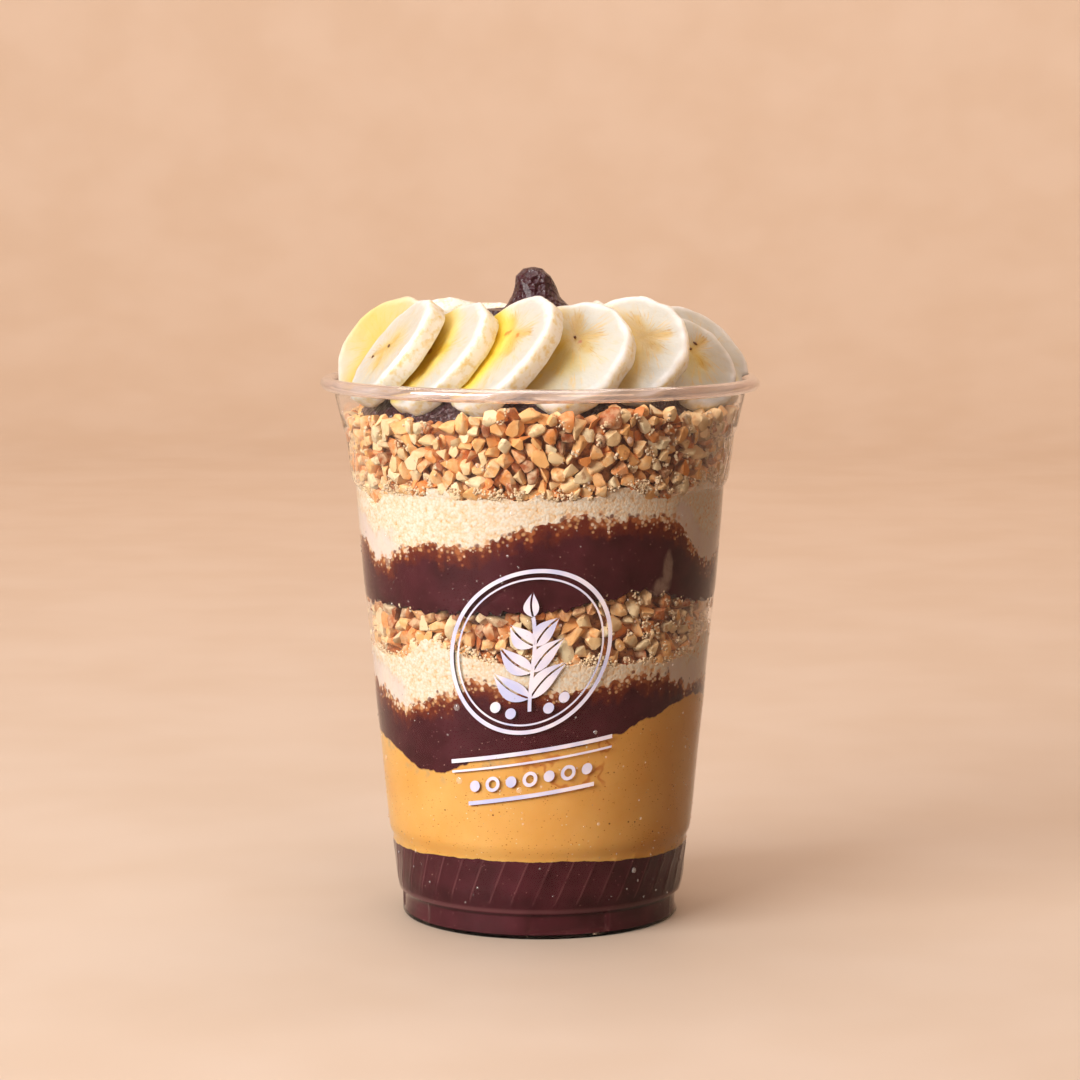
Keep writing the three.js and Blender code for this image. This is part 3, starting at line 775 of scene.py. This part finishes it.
def broken_chunk(source):
    """Angular piece of about unit radius: the hull of a few points, with its edges worn."""
    build = bmesh.new()
    for _ in range(source.randint(8, 12)):
        spot = Vector((source.gauss(0, 1), source.gauss(0, 1), source.gauss(0, 1))).normalized()
        spot = spot * source.uniform(0.85, 1.15)
        build.verts.new((spot.x, spot.y * 0.8, spot.z * 1.25))
    bmesh.ops.convex_hull(build, input=build.verts)
    bmesh.ops.delete(build, geom=[v for v in build.verts if not v.link_faces], context="VERTS")
    bmesh.ops.dissolve_limit(build, angle_limit=0.2, verts=build.verts, edges=build.edges)
    bmesh.ops.bevel(build, geom=list(build.edges), offset=0.13, segments=2, profile=0.5, affect="EDGES",
                    clamp_overlap=True)
    bmesh.ops.triangulate(build, faces=[f for f in build.faces if len(f.verts) > 4])
    bmesh.ops.subdivide_edges(build, edges=[e for e in build.edges if e.calc_length() > 0.55], cuts=1)
    bmesh.ops.triangulate(build, faces=[f for f in build.faces if len(f.verts) > 4])
    build.verts.index_update()
    points, faces = taken_from(build)
    points = points * (1 + 0.07 * noise(points, 1.7, source.randint(0, 999)))[:, None]
    cut = np.clip(0.5 + 0.9 * noise(points, 0.8, source.randint(0, 999)), 0, 1)
    return points, cut, faces


def packed_spots(bottom, top, count, seed):
    """Spots and sizes of nuts in the ring by the wall, pushed apart until they hardly overlap."""
    source = np.random.default_rng(seed)
    azimuth = source.uniform(-180, 180, count)
    low = layer_height(bottom, azimuth)
    height = low + (layer_height(top, azimuth) - low) * source.uniform(0, 1, count)
    radius = inside_radius(height) - source.uniform(0.5, NUT_DEPTH, count)
    spots = at_azimuth(azimuth, radius, height)
    size = source.uniform(*NUT_SIZES, count)
    wanted = (size[:, None] + size[None]) * 0.98
    for _ in range(70):
        apart = spots[:, None] - spots[None]
        distance = np.linalg.norm(apart, axis=2) + 1e-6
        push = np.maximum(wanted - distance, 0)
        np.fill_diagonal(push, 0)
        spots = spots + (apart / distance[..., None] * push[..., None] * 0.32).sum(axis=1)
        azimuth = azimuth_of(spots)
        low = layer_height(bottom, azimuth) + size * 0.45
        high = layer_height(top, azimuth) - size * 0.7
        spots[:, 2] = np.clip(spots[:, 2], low, np.maximum(high, low))
        radius = np.hypot(spots[:, 0], spots[:, 1])
        wall = inside_radius(spots[:, 2])
        spots[:, :2] *= (np.clip(radius, wall - NUT_DEPTH, wall - size * 0.72) / radius)[:, None]
    return spots, size


def build_nuts(node, bottom, top, count, seed, materials, stained):
    source = random.Random(seed)
    round_ball = ball(2)
    shapes = [broken_chunk(source) if index % 5 < 3 else rounded_chunk(source, *round_ball)
              for index in range(NUT_SHAPES)]
    spots, size = packed_spots(bottom, top, count, seed)
    nuts = Shape()
    for spot, radius in zip(spots, size):
        shape, cut, faces = shapes[source.randrange(NUT_SHAPES)]
        placed = shape * (radius * source.uniform(1.12, 1.42)) @ random_turn(source).T + spot
        keep_within(placed, inside_radius(placed[:, 2]) + 0.1)
        kind = source.choices(NUT_TONES, TONE_SHARES)[0] + source.uniform(-0.05, 0.07)
        near_top = float(layer_height(top, azimuth_of(spot))) - spot[2]
        nuts.add(placed, faces, kind=kind, cut=cut, stain=max(0.0, 1 - near_top / 3.4) * stained)
    # Core behind the nuts, which takes the painted shade between them.
    azimuth = all_round(CORE_COLUMNS)
    low = layer_height(bottom, azimuth) + 0.3
    high = layer_height(top, azimuth) - 1.6
    rows = [(0.01, low), (1, low), (1, (low + high) / 2), (1, high), (0.01, high)]
    core = np.concatenate([at_azimuth(azimuth, share * (inside_radius(height) - CORE_GAP), height)
                           for share, height in rows])
    core = core + 0.6 * np.stack([noise(core, 0.5, k) for k in range(3)], axis=1)
    nuts.add(core, grid_faces(len(rows), CORE_COLUMNS), 1, kind=0, cut=0, stain=0)
    piece = nuts.make(f"chopped_{node}", materials, [node])
    piece.data.set_sharp_from_angle(angle=math.radians(34))
    return spots, size


# Crumbs of powder between and on the nuts

CRUMB_PLACES = 200


def build_crumbs(name, places, material):
    """Clumps of crumbs: each place is a centre, a spread and a count."""
    source = random.Random(5)
    shape, faces = ball(1)
    crumbs = Shape()
    for centre, spread, count in places:
        for _ in range(count):
            spot = np.array(centre) + np.array([source.gauss(0, spread) for _ in range(3)])
            radius = source.uniform(0.2, 0.42)
            keep_within(spot[None], inside_radius(spot[2]) - radius * 0.4)
            stretch = np.array([source.uniform(0.7, 1.3) for _ in range(3)]) * radius
            crumbs.add(shape * stretch @ random_turn(source).T + spot, faces)
    crumbs.make(name, [material], smooth=False)


def crumb_places(boundary, spots, size, seed):
    """Clumps along a boundary, and by some of the nuts, most of them on the right side."""
    source = random.Random(seed)
    places = []
    for _ in range(CRUMB_PLACES):
        azimuth = source.uniform(-180, 180)
        height = layer_height(boundary, azimuth) + source.uniform(-0.3, 1.5)
        radius = inside_radius(height) - source.uniform(0.0, 0.3)
        places.append((at_azimuth(azimuth, radius, height), 0.5, source.randint(7, 12)))
    for spot, radius in zip(spots, size):
        azimuth = azimuth_of(spot)
        rightward = smoothstep(azimuth, 10, 60) * smoothstep(azimuth, 120, 90)
        if source.random() > 0.10 + 0.5 * rightward:
            continue
        height = spot[2] + source.uniform(-0.4, 1.0) * radius
        wall = inside_radius(height) - 0.25
        centre = at_azimuth(azimuth + source.uniform(-3, 3), wall, height)
        places.append((centre, 0.45, source.randint(5, 10)))
    return places


# Mound of acai with a swirled tip

MOUND_COLUMNS = 170


def build_mound(material):
    azimuth = all_round(MOUND_COLUMNS)
    profile = [(0.01, 111.0)] + MOUND_OUTLINE + [(0.6, TIP_HEIGHT - 0.04), (0.01, TIP_HEIGHT)]
    rings = [at_azimuth(azimuth, radius, height) for radius, height in rows_of(profile, 0.8)]
    points = np.concatenate(rings)
    height = points[:, 2]
    out = np.hypot(points[:, 0], points[:, 1])
    groove = np.cos(3 * np.radians(azimuth_of(points)) + height * 0.9) * 0.16 * smoothstep(height, 131, 136)
    calm = 1 - 0.7 * smoothstep(height, 136, 140)
    lumps = (0.5 * noise(points, 0.16, 3, 3) + 0.2 * noise(points, 0.9, 6)) * calm
    grow = lumps * np.minimum(1, out / 3) + groove * np.minimum(1, out / 4)
    points[:, :2] *= (1 + grow / np.maximum(out, 0.5) * (height > 111.5))[:, None]
    points[:, 0] += TIP_SHIFT * smoothstep(height, 132, TIP_HEIGHT)
    mound = Shape()
    mound.add(points, grid_faces(len(rings), MOUND_COLUMNS))
    mound.make("acai_mound", [material], ["acai_top"])


# Banana slices

SLICE_COLUMNS = 128
BEVEL = 0.7
FACE_SHARES = [0.02, 0.12, 0.24, 0.36, 0.48, 0.6, 0.72, 0.82, 0.9]
# Per slice, in mm on its face: middle of the pattern and its arms, stains and seeds
MIDDLES = {1: ((-2.5, -2), (75, 240, 330)), 2: ((-1.5, -1), (60, 200, 320)),
           3: ((-0.6, 4.6), (25, 150, 215, 320)), 4: ((-0.9, 4), (22, 110, 235, 335)),
           5: ((2.2, 3.4), (15, 130, 325)), 6: ((2.6, 2.6), (30, 150, 275))}
STAINS = {1: [((9, 5), 0.8)], 2: [((-2.6, -1.2), 1.3), ((0.8, 0.2), 0.9)],
          3: [((-2.2, 4.2), 1.6), ((1.6, 5.4), 1.1)], 4: [((0.6, 3.0), 0.9)]}
SEEDS = {0: [], 1: [(-1.6, -0.4), (-4.5, -6.6)], 2: [(-3.2, -2.2)], 3: [], 4: [(-0.9, 4)], 5: [],
         6: [(4, 4.3), (1.9, 2.9)], 7: []}


def slice_matrix(number):
    place, faces, lean, _, roll = SLICES[number]
    matrix = Matrix.Translation(Vector(at_azimuth(*place)))
    for angle, axis in ((faces, "Z"), (90 - lean, "X"), (roll, "Z")):
        matrix = matrix @ Matrix.Rotation(math.radians(angle), 4, axis)
    return matrix


def slice_outline(number, angle):
    wave = 0.98 + 0.018 * np.cos(3 * angle + number)
    return wave + 0.009 * np.cos(7 * angle + 2.3 * number) + 0.008 * np.cos(12 * angle + number)


def covering(number):
    """Numbers of the slices that lie on this one."""
    count = len(SLICES)
    return {0: [count - 1, count - 2, 1, 2], 1: []}.get(number, [number - 1, number - 2])


def slice_rings(across):
    """Share of the outline, depth and how much of it is side, from the face to the back."""
    rings = [(share, 0.0, 0.0) for share in (*FACE_SHARES, 1 - BEVEL / across)]

    def corner(turn):
        turn = math.radians(turn)
        return 1 - BEVEL / across * (1 - math.sin(turn)), BEVEL * (1 - math.cos(turn))

    for turn in (30, 60, 90):
        share, drop = corner(turn)
        rings.append((share, -drop, turn / 90))
    rings += [(1 + 0.004 * math.sin(depth * 2), -depth, 1.0) for depth in (1.2, 1.9, 2.7, 3.4)]
    for turn in (60, 30, 0):
        share, drop = corner(turn)
        rings.append((share, drop - SLICE_THICKNESS, 0.6))
    return rings + [(share, -SLICE_THICKNESS, 0.0) for share in (0.8, 0.5, 0.02)]


def press_on(number, world, reaches):
    """Trims a slice where others lie on it, and gives how near each point is to them, which sets the painted
    amber glow and shade of the crevice.
    """
    crease = np.zeros(len(world))
    for above in covering(number):
        matrix = slice_matrix(above)
        there = moved(matrix.inverted(), world)
        wide, tall = SLICES[above][3]
        angle = np.arctan2(there[:, 1] / tall, there[:, 0] / wide)
        reach = np.hypot(there[:, 0] / wide, there[:, 1] / tall) / slice_outline(above, angle)
        gap = np.maximum(0, (reach - 1)) * (wide + tall) / 2
        under = np.maximum(0, -there[:, 2] - SLICE_THICKNESS)
        beside = np.maximum(0, there[:, 2])
        near = np.exp(-(np.maximum(gap - 0.2, 0) / reaches[0]) ** 1.4 - (under + beside * 0.5) / reaches[1])
        crease = np.maximum(crease, near)
        inside = (reach < 0.99) & (there[:, 2] > -SLICE_THICKNESS - 0.1)
        there[inside, 2] = -SLICE_THICKNESS - 0.1
        world[inside] = moved(matrix, there)[inside]
    return crease


def build_slice(number, flesh, seed_dark):
    source = random.Random(number + 40)
    half = SLICES[number][3]
    across = (half[0] + half[1]) / 2
    rings = slice_rings(across)
    angle = np.tile(np.arange(SLICE_COLUMNS) * 2 * math.pi / SLICE_COLUMNS, len(rings))
    share, depth, side = np.repeat(np.array(rings), SLICE_COLUMNS, axis=0).T
    middle, arms = MIDDLES.get(number, ((0, 0), [source.uniform(0, 120) + k * 120 for k in range(3)]))
    x = share * slice_outline(number, angle) * half[0] * np.cos(angle)
    y = share * slice_outline(number, angle) * half[1] * np.sin(angle)
    points = np.stack([x, y, depth], axis=1)
    out = np.minimum(share, 1.0)
    towards = np.arctan2(y - middle[1], x - middle[0])
    reach = np.hypot(x - middle[0], y - middle[1]) / across
    ray = np.stack([np.cos(towards) * 10, np.sin(towards) * 10, reach * 3], axis=1) * MM
    apart = np.abs((towards[:, None] - np.radians(arms) + math.pi) % (2 * math.pi) - math.pi).min(axis=1)
    arm = np.sin(np.minimum(apart, math.pi / 2)) * reach + np.maximum(0, reach - 0.4) * 1.2
    on_face = (depth > -0.1) & (out < 0.97)
    sunk = 0.16 * noise(points, 0.28, number, 2) - 0.28 * np.exp(-(arm / 0.12) ** 2)
    lip = 0.18 * np.exp(-((out - 0.9) / 0.06) ** 2)
    points[:, 2] += (sunk + lip) * on_face - 0.2
    stain = np.zeros(len(points))
    for place, size in STAINS.get(number, []):
        gap = np.hypot(x - place[0], y - place[1])
        stain = np.maximum(stain, np.exp(-(gap / size) ** 2) * (points[:, 2] > -1))
    rough = (0.3 * noise(points, 0.32, number + 9) + 0.14 * noise(points, 0.9, number + 3)) * (side > 0.3)
    points[:, :2] *= (1 + rough / across)[:, None]
    matrix = slice_matrix(number)
    world = moved(matrix, points)
    # The painted crevice glow reaches far across the first slice and only a few mm on the others.
    crease = press_on(number, world, (8.0, 20.0) if number == 0 else (3.4, 4.0))
    wall = inside_radius(np.minimum(world[:, 2], BEAD_CENTRE[1])) - 0.15
    keep_within(world, np.where(world[:, 2] > BEAD_CENTRE[1] + BEAD_RADIUS, 60, wall))
    # The first slice lies in the key light, so its painted crevice glow takes a darker amber, a lit copy of
    # the glow colour.
    lit = 1 if number == 0 else 0
    faces = [tuple(reversed(face)) for face in drum_faces(len(rings), SLICE_COLUMNS)]
    banana = Shape()
    banana.add(world, faces, out=out, arm=arm, side=side, crease=crease, ray=ray, lit=lit, stain=stain)
    add_seeds(banana, number, source, matrix, lit)
    banana.make(f"banana_slice_{number + 1:02d}", [flesh, seed_dark], [f"banana_{number + 1:02d}"])


def add_seeds(banana, number, source, matrix, lit):
    """Small dark seeds near the middle of a slice."""
    shape, faces = ball(1)
    plain = dict.fromkeys(("out", "arm", "side", "crease", "stain"), 0)
    spots = SEEDS.get(number)
    if spots is None:
        spots = [(source.uniform(-3, 3), source.uniform(-3, 3)) for _ in range(source.choice([1, 2, 3]))]
    for spot in spots:
        size = source.uniform(0.3, 0.46)
        turn = np.array(Matrix.Rotation(source.uniform(0, 3), 3, "Z"))
        placed = shape * np.array([size, size * 1.5, 0.22]) @ turn.T + np.array([*spot, -0.38])
        banana.add(moved(matrix, placed), faces, 1, ray=np.zeros((1, 3)), lit=lit, **plain)


# Print on the front: a sprig of leaves and berries in a ring, over bars and dots, thin on the wall

PRINT_CENTRE = -3.5
PRINT_SLANT = math.tan(math.radians(9))
PRINT_LIFT = 0.05
PRINT_RADIUS = 38.0
RING_LEVEL = 64.5
VEIN_GAP = 0.22


def wrap_print(across, up):
    """Point on the cup for a place on the flat print, in mm from its centre line and above the foot."""
    height = up + across * PRINT_SLANT
    angle = PRINT_CENTRE + np.degrees(across / PRINT_RADIUS)
    return at_azimuth(angle, radius_at(OUTER_DETAIL, height) + PRINT_LIFT, height)


def leaf_grid(base, angle, length, width, steps=14):
    """Pair of half leaves with a gap down the middle for the vein."""
    along = np.array([math.cos(angle), math.sin(angle)])
    aside = np.array([-along[1], along[0]])
    part = np.linspace(0, 1, steps + 1)[:, None]
    wide = width * np.sin(math.pi * part ** 0.8) * (1 - 0.25 * part)
    bend = 0.08 * length * np.sin(math.pi * part)
    gap = np.where((part > 0) & (part < 1), VEIN_GAP, 0.0)
    reach = gap + (wide - gap) * np.linspace(0, 1, 5)
    spine = base + along * length * part[..., None]
    return [spine + aside * (bend + side * reach)[..., None] for side in (1, -1)]


def strip_grid(path, width):
    path = np.array(path, dtype=float)
    along = np.gradient(path, axis=0)
    along /= np.linalg.norm(along, axis=1)[:, None]
    normal = np.stack([-along[:, 1], along[:, 0]], axis=1)
    return np.stack([path - normal * width / 2, path + normal * width / 2], axis=1)


def circle(centre, radius, steps):
    angle = np.linspace(0, 2 * math.pi, steps + 1)
    return np.stack([centre[0] + radius * np.cos(angle), centre[1] + radius * np.sin(angle)], axis=1)


def disc_grid(centre, radius, hole=0.0):
    return np.stack([circle(centre, radius * share, 28) for share in (hole, (hole + 1) / 2, 1.0)], axis=1)


def build_print(material):
    grids = [strip_grid(circle((0, RING_LEVEL), radius, 120), width)
             for radius, width in ((17.5, 0.9), (15.9, 0.4))]
    stem = np.array([(1.8 * math.sin(t * 2.6) * t, 51.5 + 20.5 * t) for t in np.linspace(0, 1, 30)])
    grids.append(strip_grid(stem, 0.8))
    for share, side, length in ((0.16, 1, 10.5), (0.16, -1, 10.5), (0.43, 1, 9.5), (0.43, -1, 9.5),
                                (0.7, 1, 7.5), (0.7, -1, 7.5), (1.0, 0, 5.5)):
        angle = math.pi / 2 - side * math.radians(52 - 12 * share)
        grids += leaf_grid(stem[int(share * 29)], angle, length, 2.4 if side else 1.8)
    grids += [disc_grid(berry, 1.2) for berry in ((-4.2, 51.6), (-7.6, 53.4), (4.2, 51.6), (7.6, 53.4))]
    for level, reach, width in ((42.5, 19, 0.9), (40.2, 19, 0.5), (32.8, 15, 0.9)):
        grids.append(strip_grid([(x, level) for x in np.linspace(-reach, reach, 40)], width))
    for k in range(-3, 4):
        grids.append(disc_grid((k * 4.4, 36.5), 1.25) if k % 2 else disc_grid((k * 4.4, 36.5), 1.7, 0.55))
    sheet = Shape()
    for grid in grids:
        sheet.add(wrap_print(grid[..., 0], grid[..., 1]), grid_faces(*grid.shape[:2], wrap=False))
    sheet.make("front_print", [material])


# Drops of condensation on the outside of the cup

DROP_COUNT = 420
DROP_COLUMNS = 8
# Rings of a drop of unit size: radius and how far it stands off the wall
DROP_ROWS = [(1.0, -0.12), (0.92, 0.28), (0.68, 0.5), (0.36, 0.62), (0.05, 0.66)]


def build_drops(material):
    source = random.Random(3)
    last = (len(DROP_ROWS) - 1) * DROP_COLUMNS
    faces = grid_faces(len(DROP_ROWS), DROP_COLUMNS) + [tuple(range(last, last + DROP_COLUMNS))]
    turn = np.arange(DROP_COLUMNS) * 2 * math.pi / DROP_COLUMNS
    drops = Shape()
    for _ in range(DROP_COUNT):
        azimuth = source.uniform(-180, 180)
        height = source.uniform(7, 116)
        size = source.choice([0.14, 0.18, 0.22, 0.3]) * source.uniform(0.8, 1.2)
        if source.random() < 0.04:
            size = source.uniform(0.45, 0.8)
        radius = radius_at(OUTER_DETAIL, height)
        rings = []
        for out, lift in DROP_ROWS:
            around = azimuth + np.degrees(size * out * np.cos(turn) / radius)
            up = height + size * out * np.sin(turn) * 1.1
            rings.append(at_azimuth(around, radius + size * lift * 0.8, up))
        drops.add(rings, faces)
    drops.make("water_drops", [material])


# Put together

# Seed, and heights of the coarse and fine unevenness of each boundary
EDGE_FLOOR = (0, 0, 0)
EDGE_BASE = (1, 0.25, 0.1)
EDGE_BUTTER = (2, 0.5, 0.25)
EDGE_ACAI = (3, 0.8, 0.7)
EDGE_POWDER = (4, 0.7, 0.4)
EDGE_NUTS = (5, 0.5, 0.9)
EDGE_ACAI_HIGH = (6, 0.8, 0.7)
EDGE_POWDER_HIGH = (7, 0.7, 0.4)

acai = acai_material("acai_puree")
acai_plain = acai_material("acai_puree_plain", mottled=False, rib_light_and_shade=True)
powder = powder_material()
nut_mix = [nut_material(), nut_gap_shade_material()]
crumbs = crumb_material()
flesh = banana_material()
seeds = seed_material()

build_cup([plastic_material(), rim_material()])
build_layer("acai_base", acai_plain, FLOOR_LEVEL, EDGE_FLOOR, ACAI_BASE_TOP, EDGE_BASE)
build_layer("peanut_butter", peanut_butter_material(), ACAI_BASE_TOP, EDGE_BASE,
            PEANUT_BUTTER_TOP, EDGE_BUTTER)
build_layer("acai_lower", acai, PEANUT_BUTTER_TOP, EDGE_BUTTER, ACAI_LOWER_TOP, EDGE_ACAI)
build_layer("powder_lower", powder, ACAI_LOWER_TOP, EDGE_ACAI, POWDER_LOWER_TOP, EDGE_POWDER)
build_layer("acai_middle", acai, NUTS_LOWER_TOP, EDGE_NUTS, ACAI_MIDDLE_TOP, EDGE_ACAI_HIGH)
build_layer("powder_upper", powder, ACAI_MIDDLE_TOP, EDGE_ACAI_HIGH, POWDER_UPPER_TOP,
            EDGE_POWDER_HIGH)
lower_nuts = build_nuts("nuts_lower", POWDER_LOWER_TOP, NUTS_LOWER_TOP, 680, 7, nut_mix, 1.0)
upper_nuts = build_nuts("nuts_upper", POWDER_UPPER_TOP, NUTS_UPPER_TOP, 1020, 8, nut_mix, 0.0)
build_crumbs("powder_crumbs_lower", crumb_places(POWDER_LOWER_TOP, *lower_nuts, 1), crumbs)
build_crumbs("powder_crumbs_upper", crumb_places(POWDER_UPPER_TOP, *upper_nuts, 2), crumbs)
build_mound(acai_material("acai_puree_moist", mottled=False, moist=True))
for number in range(len(SLICES)):
    build_slice(number, flesh, seeds)
build_print(print_material())
build_drops(drop_material())


# Floor, light and camera, in metres

FLOOR_REACH = 1.2
STAGE_CURVE = 0.5
STAGE_HEIGHT = 1.7
STAGE_COLUMNS = 96
MIDDLE = (0, 0, 0.07)
BACKDROP = (0, 1.6, 0.35)
# Name, place, target, size, power and colour of each light
LIGHTS = [
    ("key", (-0.84, -0.74, 0.5), MIDDLE, (0.9, 0.5), 20, (1, 0.98, 0.96)),
    ("fill", (0.55, -0.98, 0.4), MIDDLE, (0.8, 0.5), 3.4, (1, 0.68, 0.48)),
    ("top", (-0.1, -0.1, 1.0), MIDDLE, (0.8, 0.6), 4, (0.94, 0.97, 1)),
    ("backdrop", (0, 0.6, 1.3), BACKDROP, (1.6, 0.4), 14, (1, 0.8, 0.66)),
]


def add_object(name, data):
    made = bpy.data.objects.new(name, data)
    bpy.context.scene.collection.objects.link(made)
    return made


def build_floor():
    """Round floor that curves up into a plain wall all round."""
    outline = [(0.02, 0), (0.3, 0), (0.7, 0), (FLOOR_REACH, 0)]
    outline += [(FLOOR_REACH + STAGE_CURVE * math.sin(a), STAGE_CURVE * (1 - math.cos(a)))
                for a in np.radians(np.arange(10, 91, 10))]
    outline.append((FLOOR_REACH + STAGE_CURVE, STAGE_HEIGHT))
    azimuth = all_round(STAGE_COLUMNS)
    points = np.concatenate([at_azimuth(azimuth, radius, height) for radius, height in outline])
    faces = grid_faces(len(outline), STAGE_COLUMNS) + [tuple(reversed(range(STAGE_COLUMNS)))]
    mesh = bpy.data.meshes.new("floor")
    mesh.from_pydata(points.tolist(), [], faces)
    mesh.polygons.foreach_set("use_smooth", [True] * len(mesh.polygons))
    mesh.materials.append(stage_material())
    floor = add_object("floor", mesh)


def add_light(name, place, target, size, power, colour):
    data = bpy.data.lights.new(name, "AREA")
    data.shape = "RECTANGLE"
    data.size, data.size_y = size
    data.energy = power
    data.color = colour
    light = add_object(name, data)
    light.location = place
    light.rotation_euler = (Vector(target) - Vector(place)).to_track_quat("-Z", "Y").to_euler()
    light.visible_camera = False


def set_world():
    world = bpy.data.worlds.new("studio")
    world.use_nodes = True
    background = world.node_tree.nodes["Background"]
    background.inputs["Color"].default_value = linear(240, 196, 166)
    background.inputs["Strength"].default_value = 0.5
    bpy.context.scene.world = world


def add_camera():
    data = bpy.data.cameras.new("camera")
    data.sensor_width = 36
    data.lens = 108.83
    camera = add_object("camera", data)
    camera.location = (0, -0.728, 0.1671)
    camera.rotation_euler = (math.radians(83.51), 0, 0)
    bpy.context.scene.camera = camera


build_floor()
set_world()
for light in LIGHTS:
    add_light(*light)
add_camera()

scene = bpy.context.scene
scene.view_settings.view_transform = "Standard"
scene.cycles.use_denoising = True
scene.cycles.max_bounces = 14
scene.cycles.transmission_bounces = 10
scene.cycles.transparent_max_bounces = 12
scene.cycles.caustics_reflective = False
scene.cycles.caustics_refractive = False
